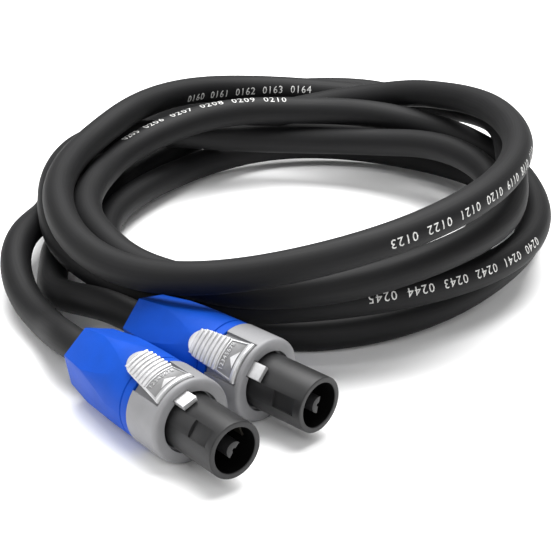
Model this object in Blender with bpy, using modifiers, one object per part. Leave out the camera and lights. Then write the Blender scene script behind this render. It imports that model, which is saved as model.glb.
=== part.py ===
"""A coiled loudspeaker cable with a two-pole twist-lock plug at each end.

Everything is in metres with +Z up. Each plug is modelled along its own X axis, with zero at the
front rim of its barrel, and is then placed by an empty. The cable lies in a five-turn coil.
"""

import math

import bmesh
import bpy
import numpy as np
from mathutils import Matrix, Vector

MM = 0.001

# ---- driving sizes -------------------------------------------------------------------------
CLEARANCE = 0.3 * MM          # between pieces that sit against each other
CABLE_R = 5.7 * MM            # jacket radius
BARREL_R = 9.4 * MM           # outside of the front barrel
BARREL_REACH = 21.7 * MM      # how far the barrel stands out of the grey front ring
BORE_R = 7.5 * MM             # hole in the barrel
BORE_DEPTH = 17.0 * MM
POST_R = 2.75 * MM            # C shaped post in the bore
PLUG_LENGTH = 77.5 * MM       # barrel rim to the rear end of the blue bushing
HOUSING_R = 14.25 * MM
RING_GAP = 0.8 * MM           # dark gap between barrel and front ring
GREY_LENGTH = 14.9 * MM       # visible length of the grey housing
THREAD_R = 11.0 * MM          # threaded tail that the bushing turns on
THREAD_LENGTH = 15.4 * MM
BUSHING_R = 14.0 * MM
BUSHING_END_R = 11.6 * MM     # round form behind the flats at the rear end of the blue bushing
LATCH_LENGTH = 22.2 * MM
LATCH_WIDTH = 14.3 * MM
LATCH_TRAVEL = 3.0 * MM
LATCH_RISE = 2.4 * MM         # how much higher the latch is at its rear end
TONGUE_WIDTH = 5.2 * MM
TONGUE_REACH = 4.7 * MM       # how far the tongue stands in front of the ring
RIB_PITCH = 1.4 * MM
RIB_COUNT = 8
CORE_R = 1.9 * MM             # insulated core
CORE_SPREAD = 4.5 * MM        # terminals lie this far to each side of the axis
SCREW_R = 1.1 * MM
ROUND_STEPS = 36
HOLE_STEPS = 12
WELD = 0.0001 * MM            # points closer than this are one point
SHARP_ANGLE = math.radians(35)
PAST = 3.0 * MM               # how far a cutter stands out of what it cuts

# ---- where the plugs lie ---------------------------------------------------------------------
# front rim centre in mm; turn about Z, nose-down tilt, roll of the latch and turn of the
# bushing, in degrees
PLUG_1 = {
    "name": "plug1", "at": (42.54, -17.04, 14.25), "turn": 0.0, "tilt": 0.0, "roll": 21.0,
    "nut": 20.0,
}
PLUG_2 = {
    "name": "plug2", "at": (35.76, 20.94, 13.50), "turn": 9.2, "tilt": 1.86, "roll": 46.5,
    "nut": 1.0,
}

# ---- the coil --------------------------------------------------------------------------------
COIL_CENTRE = (-89.5, 114.9)     # mm
COIL_HALF_WIDTHS = (90.5, 92.5)     # mm, of the plain ellipse that every turn follows
COIL_FACES = 51.6                   # degrees that the ellipse is turned
POINTS_A_TURN = 24
SETTLE_STEPS = 3                    # steps between two of those points while the coil settles
SELF_GAP = 1.3 * MM                 # least gap between turns once they are settled
COIL_FIRST = -90.0
STATION_STEP = 30.0
# How the turns lie, read clockwise from above, a twelfth of a turn at a time: how far outside
# the ellipse the cable's axis is, and how high, in tenths of a cable diameter.
COIL_OUT = (
    -1, -5, -2, -3, -5, -9, -9, -2, 10, 20, 22, 9,
    -3, -7, 0, 7, 6, 0, -8, -3, 5, 11, 9, -1,
    -10, -13, -19, -19, -14, -6, -1, 3, 3, 4, 6, 7,
    4, -1, -13, -21, -22, -18, -13, -13, -14, -14, -13, -12,
    -13, -16, -10, -3, 1, 2, 0, -3, -2, 0, -2, -3,
    -3, 2, 10, 14,
)
COIL_UP = (
    5, 6, 13, 22, 32, 40, 44, 46, 45, 38, 30, 32,
    32, 34, 32, 26, 26, 32, 32, 29, 29, 25, 24, 26,
    24, 24, 28, 27, 26, 23, 20, 18, 18, 17, 14, 17,
    24, 25, 18, 16, 19, 23, 22, 18, 12, 7, 5, 6,
    8, 8, 7, 7, 6, 7, 8, 9, 7, 5, 6, 11,
    16, 14, 11, 7,
)

# ---- the leads, as points on the cable's axis in mm --------------------------------------------
LEAD_2 = (
    (-70, 5, 14),
    (-89, 6, 10),
    (-107, 11, 6),
    (-121, 21, 6),
)
LEAD_1 = (
    (-67, -12.5, 10.3),
    (-95, -6.6, 10),
    (-127, 10, 16),
    (-149, 35, 14),
    (-175, 59, 11),
    (-194, 89, 6),
    (-219, 119, 6),
    (-237, 154, 6),
    (-239, 189, 6),
    (-226.1, 217.1, 6),
    (-211.6, 238.9, 6),
    (-185.4, 252.8, 6),
    (-162.3, 243.7, 6),
    (-153.2, 225.7, 6),
)


# ---- helpers -----------------------------------------------------------------------------------
def clear_scene():
    for obj in list(bpy.data.objects):
        bpy.data.objects.remove(obj, do_unlink=True)


def new_collection(name):
    found = bpy.data.collections.new(name)
    bpy.context.scene.collection.children.link(found)
    return found


def new_material(name, colour, roughness, metallic=0.0):
    material = bpy.data.materials.new(name)
    material.use_nodes = True
    shader = material.node_tree.nodes["Principled BSDF"]
    shader.inputs["Base Color"].default_value = (*colour, 1.0)
    shader.inputs["Roughness"].default_value = roughness
    shader.inputs["Metallic"].default_value = metallic
    material.diffuse_color = (*colour, 1.0)
    return material


def baked(source):
    """The evaluated mesh of a helper object, which is then removed."""
    bpy.context.scene.collection.objects.link(source)
    graph = bpy.context.evaluated_depsgraph_get()
    mesh = bpy.data.meshes.new_from_object(source.evaluated_get(graph))
    bpy.data.objects.remove(source, do_unlink=True)
    return mesh


def new_solid(name, mesh, parent, material=None):
    """An object of this mesh, shaded smooth except at its edges. With no material it is a cutter."""
    shape = bmesh.new()
    shape.from_mesh(mesh)
    bmesh.ops.remove_doubles(shape, verts=shape.verts, dist=WELD)
    bmesh.ops.recalc_face_normals(shape, faces=shape.faces)
    shape.to_mesh(mesh)
    shape.free()
    mesh.shade_smooth()
    mesh.set_sharp_from_angle(angle=SHARP_ANGLE)
    obj = bpy.data.objects.new(name, mesh)
    obj.parent = parent
    if material is None:
        CUTTERS.objects.link(obj)
        obj.display_type = "WIRE"
        obj.hide_render = True
    else:
        OBJECTS.objects.link(obj)
        mesh.materials.clear()
        mesh.materials.append(material)
    return obj


def lathe(name, profile, parent, material=None, steps=ROUND_STEPS):
    """Turns an outline of (x, radius) points round the X axis. It may start and end on the axis."""
    count = len(profile)
    edges = [(index, index + 1) for index in range(count - 1)]
    if profile[0][1] > 0 or profile[-1][1] > 0:
        edges.append((count - 1, 0))
    outline = bpy.data.meshes.new(name + "_profile")
    outline.from_pydata([(x, 0.0, radius) for x, radius in profile], edges, [])
    source = bpy.data.objects.new(name + "_profile", outline)
    screw = source.modifiers.new("turn", "SCREW")
    screw.axis = "X"
    screw.steps = steps
    screw.render_steps = steps
    screw.use_merge_vertices = True
    screw.merge_threshold = WELD
    return new_solid(name, baked(source), parent, material)


def boxes(name, spans, parent, material=None):
    """Separate boxes in one mesh, each between its low and its high corner."""
    shape = bmesh.new()
    for low, high in spans:
        middle = (Vector(low) + Vector(high)) / 2
        size = Matrix.Diagonal((*(Vector(high) - Vector(low)), 1.0))
        bmesh.ops.create_cube(shape, size=1.0, matrix=Matrix.Translation(middle) @ size)
    mesh = bpy.data.meshes.new(name)
    shape.to_mesh(mesh)
    shape.free()
    return new_solid(name, mesh, parent, material)


def box(name, low, high, parent, material=None):
    return boxes(name, [(low, high)], parent, material)


def cone(name, place, radii, length, sides, parent):
    """A cutter along its own Z axis, with the given radius at each end."""
    shape = bmesh.new()
    bmesh.ops.create_cone(
        shape,
        cap_ends=True,
        segments=sides,
        radius1=radii[0],
        radius2=radii[1],
        depth=length,
        matrix=place,
    )
    mesh = bpy.data.meshes.new(name)
    shape.to_mesh(mesh)
    shape.free()
    return new_solid(name, mesh, parent)


def lying(x, y=0.0, spin=0.0):
    """A place whose own Z axis points along X."""
    turn = Matrix.Rotation(math.pi / 2, 4, "Y") @ Matrix.Rotation(math.radians(spin), 4, "Z")
    return Matrix.Translation((x, y, 0.0)) @ turn


def flat_bar(name, outline, low, high, parent):
    """A cutter with a flat outline of (y, z) points, drawn out along the X axis."""
    curve = bpy.data.curves.new(name, "CURVE")
    curve.dimensions = "2D"
    curve.fill_mode = "BOTH"
    curve.extrude = (high - low) / 2
    line = curve.splines.new("POLY")
    line.points.add(len(outline) - 1)
    for point, (across, up) in zip(line.points, outline):
        point.co = (across, up, 0.0, 1.0)
    line.use_cyclic_u = True
    mesh = baked(bpy.data.objects.new(name + "_outline", curve))
    mesh.transform(Matrix(((0, 0, 1, (low + high) / 2), (1, 0, 0, 0), (0, 1, 0, 0), (0, 0, 0, 1))))
    return new_solid(name, mesh, parent)


def rounded(x, radius, size, steps=4):
    """Profile points of a rounded front edge whose sharp corner would be at (x, radius)."""
    found = []
    for step in range(steps + 1):
        turn = math.pi / 2 * step / steps
        found.append((x - size * (1 - math.cos(turn)), radius - size * (1 - math.sin(turn))))
    return found


def loft(name, sections, parent, material=None):
    """Joins rings of points, which all have the same count, and closes both ends."""
    points = [tuple(point) for section in sections for point in section]
    count = len(sections[0])
    faces = [list(range(count)), list(range(len(points) - 1, len(points) - count - 1, -1))]
    for index in range(len(sections) - 1):
        base = index * count
        for step in range(count):
            after = (step + 1) % count
            faces.append([base + step, base + after, base + count + after, base + count + step])
    mesh = bpy.data.meshes.new(name)
    mesh.from_pydata(points, [], faces)
    return new_solid(name, mesh, parent, material)


def combine(obj, other, operation):
    modifier = obj.modifiers.new(operation.lower(), "BOOLEAN")
    modifier.operation = operation
    modifier.solver = "EXACT"
    modifier.object = other


def tube(name, points, radius, parent, material, sides=2, radii=None):
    """A solid round tube through these points."""
    curve = bpy.data.curves.new(name, "CURVE")
    curve.dimensions = "3D"
    curve.bevel_depth = radius
    curve.bevel_resolution = sides
    curve.use_fill_caps = True
    line = curve.splines.new("POLY")
    line.points.add(len(points) - 1)
    for index, point in enumerate(points):
        line.points[index].co = (*point, 1.0)
        if radii:
            line.points[index].radius = radii[index] / radius
    curve.materials.append(material)
    obj = bpy.data.objects.new(name, curve)
    obj.parent = parent
    OBJECTS.objects.link(obj)
    return obj


def natural_spline(knots, values, wanted):
    """The smoothest cubic curve through these values, read at the wanted places."""
    knots = np.asarray(knots, float)
    values = np.asarray(values, float)
    wanted = np.asarray(wanted, float)
    gaps = np.diff(knots)
    slopes = np.diff(values) / gaps
    count = len(knots)
    matrix = np.eye(count)
    right = np.zeros(count)
    for index in range(1, count - 1):
        matrix[index, index - 1] = gaps[index - 1]
        matrix[index, index] = 2 * (gaps[index - 1] + gaps[index])
        matrix[index, index + 1] = gaps[index]
        right[index] = 6 * (slopes[index] - slopes[index - 1])
    bend = np.linalg.solve(matrix, right)
    place = np.clip(np.searchsorted(knots, wanted) - 1, 0, count - 2)
    gap = gaps[place]
    after = wanted - knots[place]
    before = knots[place + 1] - wanted
    cubic = (bend[place] * before**3 + bend[place + 1] * after**3) / (6 * gap)
    start = (values[place] / gap - bend[place] * gap / 6) * before
    end = (values[place + 1] / gap - bend[place + 1] * gap / 6) * after
    return cubic + start + end


# ---- plug pieces -------------------------------------------------------------------------------
RING_FACE = -BARREL_REACH
GREY_END = RING_FACE - GREY_LENGTH
TAIL_END = GREY_END - THREAD_LENGTH
INNER_R = BARREL_R + CLEARANCE
STEP_BACK = RING_FACE - 2.5 * MM
BORE_END = -BORE_DEPTH
INSERT_END = GREY_END - 0.1 * MM
CHAMBER_FRONT = STEP_BACK - 0.4 * MM
TONGUE_LOW = INNER_R
TONGUE_TOP = TONGUE_LOW + 1.6 * MM
BAR_END = RING_FACE - 8.1 * MM
WEB_FRONT = RING_FACE - 4.6 * MM
WEB_BACK = BAR_END + 0.2 * MM
SPRING_R = 0.8 * MM
SPRING_WIRE_R = 0.18 * MM
SPRING_AXIS = TONGUE_LOW + 0.15 * MM + SPRING_R + SPRING_WIRE_R
SPRING_TURNS = 4
SPRING_ROOM_END = GREY_END + 1.0 * MM
LATCH_FRONT = RING_FACE - 2.0 * MM
LATCH_END = LATCH_FRONT - LATCH_LENGTH
LATCH_SEAT = HOUSING_R - 1.05 * MM
LATCH_LOW = LATCH_SEAT + CLEARANCE
LATCH_STEP = GREY_END + LATCH_TRAVEL + CLEARANCE
LATCH_HIGH = max(HOUSING_R, BUSHING_R) + 0.35 * MM
CHUCK_FRONT = TAIL_END + 2.0 * MM
CHUCK_HOLE = CABLE_R + CLEARANCE
CHUCK_R = INNER_R - 0.4 * MM
FLANGE_FRONT = TAIL_END - CLEARANCE
FLANGE_BACK = FLANGE_FRONT - 2.0 * MM
FLANGE_R = THREAD_R - 0.2 * MM
CHUCK_CONE = FLANGE_BACK - 5.7 * MM
CHUCK_END = CHUCK_CONE - 6.0 * MM
CHUCK_TIP_R = CHUCK_HOLE + 1.6 * MM
BUSHING_FRONT = GREY_END - CLEARANCE
BUSHING_HOLE = CABLE_R + 0.4 * MM
NUT_R = THREAD_R + 0.4 * MM
GROOVE = GREY_END - 3.6 * MM
JACKET_FRONT = FLANGE_BACK - 0.7 * MM
JACKET_BACK = -PLUG_LENGTH - 0.4 * MM
BLOCK_FRONT = CHAMBER_FRONT - CLEARANCE
BLOCK_BACK = INSERT_END + 0.3 * MM
BLOCK_HALF = 2.6 * MM
CHAMBER_HALF = BLOCK_HALF + CLEARANCE
STRIP_OUT = BORE_R - 0.7 * MM
STRIP_IN = STRIP_OUT - 0.6 * MM
STRIP_HALF = 1.8 * MM
SCREW_X = (BLOCK_FRONT + BLOCK_BACK) / 2
CONDUCTOR_R = SCREW_R + 0.1 * MM
CONDUCTOR_END = BLOCK_FRONT - 3.5 * MM
SIDES = ((-1, "neg"), (1, "pos"))
RING_ROUND = 1.5 * MM         # rounded front edge of the grey ring
RIM_ROUND = 0.4 * MM          # rounded rim of the barrel
LATCH_ROOM = 0.35 * MM        # between the latch and the sides of its seat
SEAT_STEPS = 8
LATCH_STEPS = 6
WEB_HALF = 2.0 * MM
WEB_ROOT = 0.6 * MM           # how far the web runs into what it joins
POST_WALL = 2.1 * MM
POST_OPENING = -62.0          # degrees from +Y towards +Z
POST_HALF_OPEN = 86.0
POST_BACK = 0.5 * MM          # the post's end lies this far behind the rim
POCKET_FRONT = 3.0 * MM       # lock pockets in the sides of the barrel
POCKET_BACK = 11.5 * MM
POCKET_HALF = 2.8 * MM
POCKET_DEPTH = 1.1 * MM
POCKET_TURN = math.radians(-56)
ACCESS_R = SCREW_R + 1.0 * MM
STRIP_ROOT = 1.0 * MM
STRIP_BACK = 5.0 * MM         # the strip's end lies this far behind the rim
HEAD_R = SCREW_R + 0.6 * MM
HEAD_HEIGHT = 1.7 * MM
SCREW_SLOT = 0.5 * MM
SCREW_SLOT_DEPTH = 0.6 * MM
PLATE_LIFT = 0.6 * MM         # latch surfaces above the housing's surface
RIB_LIFT = 0.95 * MM
RIB_ROOT = 0.65 * MM
RIB_START = 0.4 * MM
PLATE_THICK = 0.55 * MM
STEP_EDGE = 0.05 * MM
LATCH_STRAIGHT = 0.45         # share of the latch with nearly straight sides
LATCH_TAPER = 0.10
LATCH_NARROWING = 0.42
LATCH_NOSE = 0.72             # share of the rest that comes before the round end
LATCH_TIP_HALF = 0.4 * MM
SPRING_FREE = 0.12 * MM       # room at each end of the spring
SPRING_STEPS = 10
SLIT_HALF = 0.6 * MM
CABLE_STEPS = 24
GROOVE_DEPTH = 0.45 * MM
FLATS_HALF = 9.75 * MM        # the flats' distance from the axis at the rear end
FLATS_SLOPE = 0.142


def arc_ring(x, radius, half_angle, steps):
    """Points across the top of a cylinder about the X axis, from one side to the other."""
    found = []
    for step in range(steps + 1):
        turn = half_angle * (2 * step / steps - 1)
        found.append((x, radius * math.sin(turn), radius * math.cos(turn)))
    return found


def add_housing(plug, name):
    """Grey front shell: ring round the barrel, latch seat on top and threaded tail."""
    outline = [(RING_FACE, BARREL_R + RING_GAP)]
    outline += rounded(RING_FACE, HOUSING_R, RING_ROUND)
    outline += [
        (GREY_END, HOUSING_R),
        (GREY_END, THREAD_R),
        (TAIL_END, THREAD_R),
        (TAIL_END, INNER_R),
        (STEP_BACK, INNER_R),
        (STEP_BACK, BARREL_R + RING_GAP),
    ]
    housing = lathe(name + "_housing", outline, plug, GREY_PLASTIC)
    angle = math.asin((LATCH_WIDTH / 2 + LATCH_ROOM) / HOUSING_R)
    seat = []
    for x in (LATCH_FRONT + LATCH_ROOM, GREY_END - PAST):
        top = arc_ring(x, HOUSING_R + PAST, angle, SEAT_STEPS)
        seat.append(top + arc_ring(x, LATCH_SEAT, angle, SEAT_STEPS)[::-1])
    combine(housing, loft(name + "_cut_seat", seat, plug), "DIFFERENCE")
    wide = TONGUE_WIDTH / 2 + CLEARANCE
    low = INNER_R - PAST
    notch_low = (BAR_END - LATCH_TRAVEL - CLEARANCE, -wide, low)
    notch_high = (RING_FACE + PAST, wide, TONGUE_TOP + CLEARANCE)
    combine(housing, box(name + "_cut_notch", notch_low, notch_high, plug), "DIFFERENCE")
    narrow = SPRING_R + SPRING_WIRE_R + CLEARANCE
    room_low = (SPRING_ROOM_END, -narrow, low)
    room_high = (BAR_END, narrow, SPRING_AXIS + narrow)
    combine(housing, box(name + "_cut_room", room_low, room_high, plug), "DIFFERENCE")
    slim = WEB_HALF + CLEARANCE
    slot_low = (WEB_BACK - LATCH_TRAVEL - CLEARANCE, -slim, TONGUE_TOP)
    slot_high = (WEB_FRONT + CLEARANCE, slim, HOUSING_R + PAST)
    combine(housing, box(name + "_cut_slot", slot_low, slot_high, plug), "DIFFERENCE")
    return housing


def both_sides(low, high):
    """Spans mirrored to each side of the plug's axis, from the corners of the one at +Y."""
    mirrored_low = (low[0], -high[1], low[2])
    mirrored_high = (high[0], -low[1], high[2])
    return [(low, high), (mirrored_low, mirrored_high)]


def c_outline(outer, inner, middle, half_open, steps=10):
    """A ring's outline as (y, z) points with an opening, whose middle and half are in degrees."""
    found = []
    start = math.radians(middle + half_open)
    sweep = math.radians(360 - 2 * half_open)
    for radius, order in ((outer, range(steps + 1)), (inner, range(steps, -1, -1))):
        for step in order:
            turn = start + sweep * step / steps
            found.append((radius * math.cos(turn), radius * math.sin(turn)))
    return found


def add_insert(plug, name):
    """Dark barrel with its bore, C shaped post, lock pockets and terminal chambers."""
    outline = rounded(0.0, BARREL_R, RIM_ROUND, 2)
    outline += [
        (INSERT_END, BARREL_R),
        (INSERT_END, 0.0),
        (BORE_END, 0.0),
        (BORE_END, BORE_R),
        (-RIM_ROUND, BORE_R),
        (0.0, BORE_R + RIM_ROUND),
    ]
    # An outline that has two neighbours on the axis starts and ends there.
    outline = outline[-3:] + outline[:-3]
    insert = lathe(name + "_insert", outline, plug, BLACK_PLASTIC)
    post = c_outline(POST_R, POST_R - POST_WALL, POST_OPENING, POST_HALF_OPEN)
    bar = flat_bar(name + "_add_post", post, BORE_END - 0.8 * MM, -POST_BACK, plug)
    combine(insert, bar, "UNION")
    low = (-POCKET_BACK, BARREL_R - POCKET_DEPTH, -POCKET_HALF)
    high = (-POCKET_FRONT, BARREL_R + PAST, POCKET_HALF)
    pockets = boxes(name + "_cut_pockets", both_sides(low, high), plug)
    pockets.rotation_euler.x = POCKET_TURN
    combine(insert, pockets, "DIFFERENCE")
    low = (INSERT_END - PAST, CORE_SPREAD - CHAMBER_HALF, -CHAMBER_HALF)
    high = (CHAMBER_FRONT, CORE_SPREAD + CHAMBER_HALF, CHAMBER_HALF)
    chambers = boxes(name + "_cut_chambers", both_sides(low, high), plug)
    combine(insert, chambers, "DIFFERENCE")
    low = (CHAMBER_FRONT - 0.5 * MM, STRIP_IN - CLEARANCE, -STRIP_HALF - CLEARANCE)
    high = (BORE_END + 0.5 * MM, STRIP_OUT + CLEARANCE, STRIP_HALF + CLEARANCE)
    slots = boxes(name + "_cut_slots", both_sides(low, high), plug)
    combine(insert, slots, "DIFFERENCE")
    middle = (BLOCK_HALF + BARREL_R + PAST) / 2
    radii = (ACCESS_R, ACCESS_R)
    for side, mark in SIDES:
        place = Matrix.Translation((SCREW_X, side * CORE_SPREAD, middle))
        long = BARREL_R + PAST - BLOCK_HALF
        access = cone(name + "_cut_access_" + mark, place, radii, long, HOLE_STEPS, plug)
        combine(insert, access, "DIFFERENCE")
    return insert


def add_contact(plug, name, side, mark):
    """Terminal block in the rear of the insert with a flat strip that reaches into the bore."""
    middle = side * CORE_SPREAD
    low = (BLOCK_BACK, middle - BLOCK_HALF, -BLOCK_HALF)
    high = (BLOCK_FRONT, middle + BLOCK_HALF, BLOCK_HALF)
    contact = box(name + "_contact_" + mark, low, high, plug, PLATED_METAL)
    flat = sorted((side * STRIP_IN, side * STRIP_OUT))
    low = (BLOCK_FRONT - STRIP_ROOT, flat[0], -STRIP_HALF)
    high = (-STRIP_BACK, flat[1], STRIP_HALF)
    combine(contact, box(name + "_add_strip_" + mark, low, high, plug), "UNION")
    hole = CONDUCTOR_R + CLEARANCE
    front = CONDUCTOR_END + 2 * CLEARANCE
    back = BLOCK_BACK - PAST
    place = lying((front + back) / 2, middle)
    bore = cone(name + "_cut_wire_" + mark, place, (hole, hole), front - back, HOLE_STEPS, plug)
    combine(contact, bore, "DIFFERENCE")
    hole = SCREW_R + CLEARANCE
    long = BLOCK_HALF + PAST
    place = Matrix.Translation((SCREW_X, middle, long / 2))
    thread = cone(name + "_cut_thread_" + mark, place, (hole, hole), long, HOLE_STEPS, plug)
    combine(contact, thread, "DIFFERENCE")
    return contact


def add_screw(plug, name, side, mark):
    """Slotted clamp screw that presses on the bare wire."""
    tip = CONDUCTOR_R + CLEARANCE
    under = BLOCK_HALF + CLEARANCE
    top = under + HEAD_HEIGHT
    outline = [(tip, 0.0), (tip, SCREW_R), (under, SCREW_R), (under, HEAD_R)]
    outline += [(top, HEAD_R), (top, 0.0)]
    # The screw is turned about X like the other round pieces, and its parent stands it up.
    stand = bpy.data.objects.new(name + "_screw_seat_" + mark, None)
    stand.parent = plug
    stand.location = (SCREW_X, side * CORE_SPREAD, 0.0)
    stand.rotation_euler = (0.0, -math.pi / 2, 0.0)
    OBJECTS.objects.link(stand)
    screw = lathe(name + "_screw_" + mark, outline, stand, STEEL, HOLE_STEPS)
    low = (top - SCREW_SLOT_DEPTH, -HEAD_R - PAST, -SCREW_SLOT / 2)
    high = (top + PAST, HEAD_R + PAST, SCREW_SLOT / 2)
    combine(screw, box(name + "_cut_slot_" + mark, low, high, stand), "DIFFERENCE")
    return screw


def latch_width(x):
    """Half the latch's width at this place: nearly straight sides and a round rear end."""
    along = (LATCH_FRONT - x) / LATCH_LENGTH
    half = LATCH_WIDTH / 2
    if along < LATCH_STRAIGHT:
        return half * (1 - LATCH_TAPER * (along / LATCH_STRAIGHT) ** 2)
    rest = (along - LATCH_STRAIGHT) / (1 - LATCH_STRAIGHT)
    nose = max(0.0, (rest - LATCH_NOSE) / (1 - LATCH_NOSE))
    return half * (1 - LATCH_TAPER - LATCH_NARROWING * rest**1.6) * math.sqrt(max(0.0, 1 - nose**2))


def latch_stations():
    """Places along the latch with the height of its top above the housing's surface."""
    front = LATCH_FRONT
    found = [(front, PLATE_LIFT / 2), (front - 0.3 * MM, RIB_LIFT), (front - 1.3 * MM, RIB_LIFT)]
    found += [(front - 1.6 * MM, PLATE_LIFT), (LATCH_STEP + STEP_EDGE, PLATE_LIFT)]
    found.append((LATCH_STEP - STEP_EDGE, PLATE_LIFT))
    start = LATCH_STEP - RIB_START
    for rib in range(RIB_COUNT):
        for part, lift in ((0.0, RIB_ROOT), (0.3, RIB_LIFT), (0.75, RIB_LIFT), (0.98, RIB_ROOT)):
            found.append((start - (rib + part) * RIB_PITCH, lift))
    tail = found[-1][0]
    for part in (0.35, 0.7, 0.9, 0.98):
        found.append((tail + part * (LATCH_END - tail), PLATE_LIFT * (1 - 0.6 * part)))
    return found


def add_latch(plug, name):
    """White metal thumb slide: curved plate with ribs, a web through the shell and the tongue."""
    sections = []
    for x, lift in latch_stations():
        low = LATCH_LOW
        high = HOUSING_R + lift
        if x < LATCH_STEP:
            low = LATCH_HIGH
            high = LATCH_HIGH + PLATE_THICK + lift - RIB_ROOT
            high += LATCH_RISE * (LATCH_STEP - x) / (LATCH_STEP - LATCH_END)
        half = max(latch_width(x), LATCH_TIP_HALF)
        angle = math.asin(half / (HOUSING_R + PLATE_LIFT))
        top = arc_ring(x, high, angle, LATCH_STEPS)
        sections.append(top + arc_ring(x, low, angle, LATCH_STEPS)[::-1])
    latch = loft(name + "_latch", sections, plug, WHITE_METAL)
    low = (WEB_BACK, -WEB_HALF, TONGUE_TOP - WEB_ROOT)
    high = (WEB_FRONT, WEB_HALF, LATCH_LOW + WEB_ROOT)
    combine(latch, box(name + "_add_web", low, high, plug), "UNION")
    low = (BAR_END, -TONGUE_WIDTH / 2, TONGUE_LOW)
    high = (RING_FACE + TONGUE_REACH, TONGUE_WIDTH / 2, TONGUE_TOP)
    combine(latch, box(name + "_add_bar", low, high, plug), "UNION")
    return latch


def add_latch_spring(plug, name):
    """Small coil spring that pushes the latch forward."""
    front = BAR_END - SPRING_WIRE_R - SPRING_FREE
    back = SPRING_ROOM_END + SPRING_WIRE_R + SPRING_FREE
    points = []
    count = SPRING_TURNS * SPRING_STEPS
    for step in range(count + 1):
        turn = 2 * math.pi * step / SPRING_STEPS
        x = front + (back - front) * step / count
        points.append((x, SPRING_R * math.sin(turn), SPRING_AXIS + SPRING_R * math.cos(turn)))
    return tube(name + "_latch_spring", points, SPRING_WIRE_R, plug, STEEL, 0)


def add_chuck(plug, name):
    """Slit sleeve that the bushing squeezes on the jacket."""
    outline = [
        (CHUCK_FRONT, CHUCK_HOLE),
        (CHUCK_FRONT, CHUCK_R),
        (FLANGE_FRONT, CHUCK_R),
        (FLANGE_FRONT, FLANGE_R),
        (FLANGE_BACK, FLANGE_R),
        (FLANGE_BACK, CHUCK_R),
        (CHUCK_CONE, CHUCK_R),
        (CHUCK_END, CHUCK_TIP_R),
        (CHUCK_END, CHUCK_HOLE),
    ]
    chuck = lathe(name + "_chuck", outline, plug, BLACK_NYLON, CABLE_STEPS)
    back = CHUCK_END - PAST
    front = FLANGE_BACK - 1.0 * MM
    wide = CHUCK_R + PAST
    first = box(name + "_cut_slit_a", (back, -wide, -SLIT_HALF), (front, wide, SLIT_HALF), plug)
    combine(chuck, first, "DIFFERENCE")
    second = box(name + "_cut_slit_b", (back, -SLIT_HALF, -wide), (front, SLIT_HALF, wide), plug)
    combine(chuck, second, "DIFFERENCE")
    return chuck


def add_bushing(plug, name, spin):
    """Blue rear nut: collar, groove and a long body whose six flats meet at its square end."""
    end = -PLUG_LENGTH
    inside = CHUCK_R + 0.4 * MM
    outline = [
        (BUSHING_FRONT, NUT_R),
        (BUSHING_FRONT, BUSHING_R - 0.35 * MM),
        (BUSHING_FRONT - 0.3 * MM, BUSHING_R),
        (GROOVE + 0.25 * MM, BUSHING_R),
        (GROOVE, BUSHING_R - GROOVE_DEPTH),
        (GROOVE - 0.3 * MM, BUSHING_R - GROOVE_DEPTH),
        (GROOVE - 0.55 * MM, BUSHING_R),
        (end + 28.0 * MM, BUSHING_R - 0.1 * MM),
        (end + 18.0 * MM, BUSHING_R - 0.3 * MM),
        (end + 9.0 * MM, BUSHING_R - 0.9 * MM),
        (end + 3.5 * MM, BUSHING_R - 1.7 * MM),
        (end, BUSHING_END_R),
        (end, BUSHING_HOLE),
        (CHUCK_END - 0.4 * MM, BUSHING_HOLE),
        (CHUCK_END - 0.4 * MM, CHUCK_TIP_R + 0.4 * MM),
        (CHUCK_CONE - 0.2 * MM, inside),
        (FLANGE_BACK - CLEARANCE, inside),
        (FLANGE_BACK - CLEARANCE, NUT_R),
    ]
    bushing = lathe(name + "_bushing", outline, plug, BLUE_PLASTIC)
    long = PLUG_LENGTH
    corner = 1 / math.cos(math.pi / 6)
    radii = (FLATS_HALF * corner, (FLATS_HALF + FLATS_SLOPE * long) * corner)
    place = lying(end - CLEARANCE + long / 2, 0.0, spin)
    flats = cone(name + "_trim_flats", place, radii, long, 6, plug)
    combine(bushing, flats, "INTERSECT")
    return bushing


def add_jacket_end(plug, name):
    """The cable's own end, held in the chuck."""
    front = JACKET_FRONT
    back = JACKET_BACK
    outline = [(front, 0.0), (front, CABLE_R), (back, CABLE_R), (back, 0.0)]
    return lathe(name + "_jacket_end", outline, plug, BLACK_JACKET, CABLE_STEPS)


def add_core(plug, name, side, mark):
    """Insulated wire from the jacket to its terminal, bare where the screw holds it."""
    near = CORE_R + 0.4 * MM
    bare_from = INSERT_END - 0.6 * MM
    start = JACKET_FRONT + CLEARANCE
    room = bare_from - start
    points = []
    for along, aside in ((0.0, 0.0), (0.2, 0.0), (0.45, 0.35), (0.65, 0.85), (0.8, 1.0), (1.0, 1.0)):
        points.append((start + along * room, side * (near + aside * (CORE_SPREAD - near)), 0.0))
    radii = [CORE_R] * len(points)
    for x in (bare_from + 0.2 * MM, CONDUCTOR_END):
        points.append((x, side * CORE_SPREAD, 0.0))
        radii.append(CONDUCTOR_R)
    colour = RED_WIRE if side > 0 else BLACK_WIRE
    return tube(name + "_core_" + mark, points, CORE_R, plug, colour, 1, radii)


def add_plug(place):
    name = place["name"]
    plug = bpy.data.objects.new(name + "_frame", None)
    plug.location = Vector(place["at"]) * MM
    turns = (place["roll"], place["tilt"], place["turn"])
    plug.rotation_euler = [math.radians(turn) for turn in turns]
    OBJECTS.objects.link(plug)
    add_housing(plug, name)
    add_insert(plug, name)
    for side, mark in SIDES:
        add_contact(plug, name, side, mark)
        add_screw(plug, name, side, mark)
        add_core(plug, name, side, mark)
    add_latch(plug, name)
    add_latch_spring(plug, name)
    add_chuck(plug, name)
    add_bushing(plug, name, place["nut"])
    add_jacket_end(plug, name)
    return plug


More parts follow.
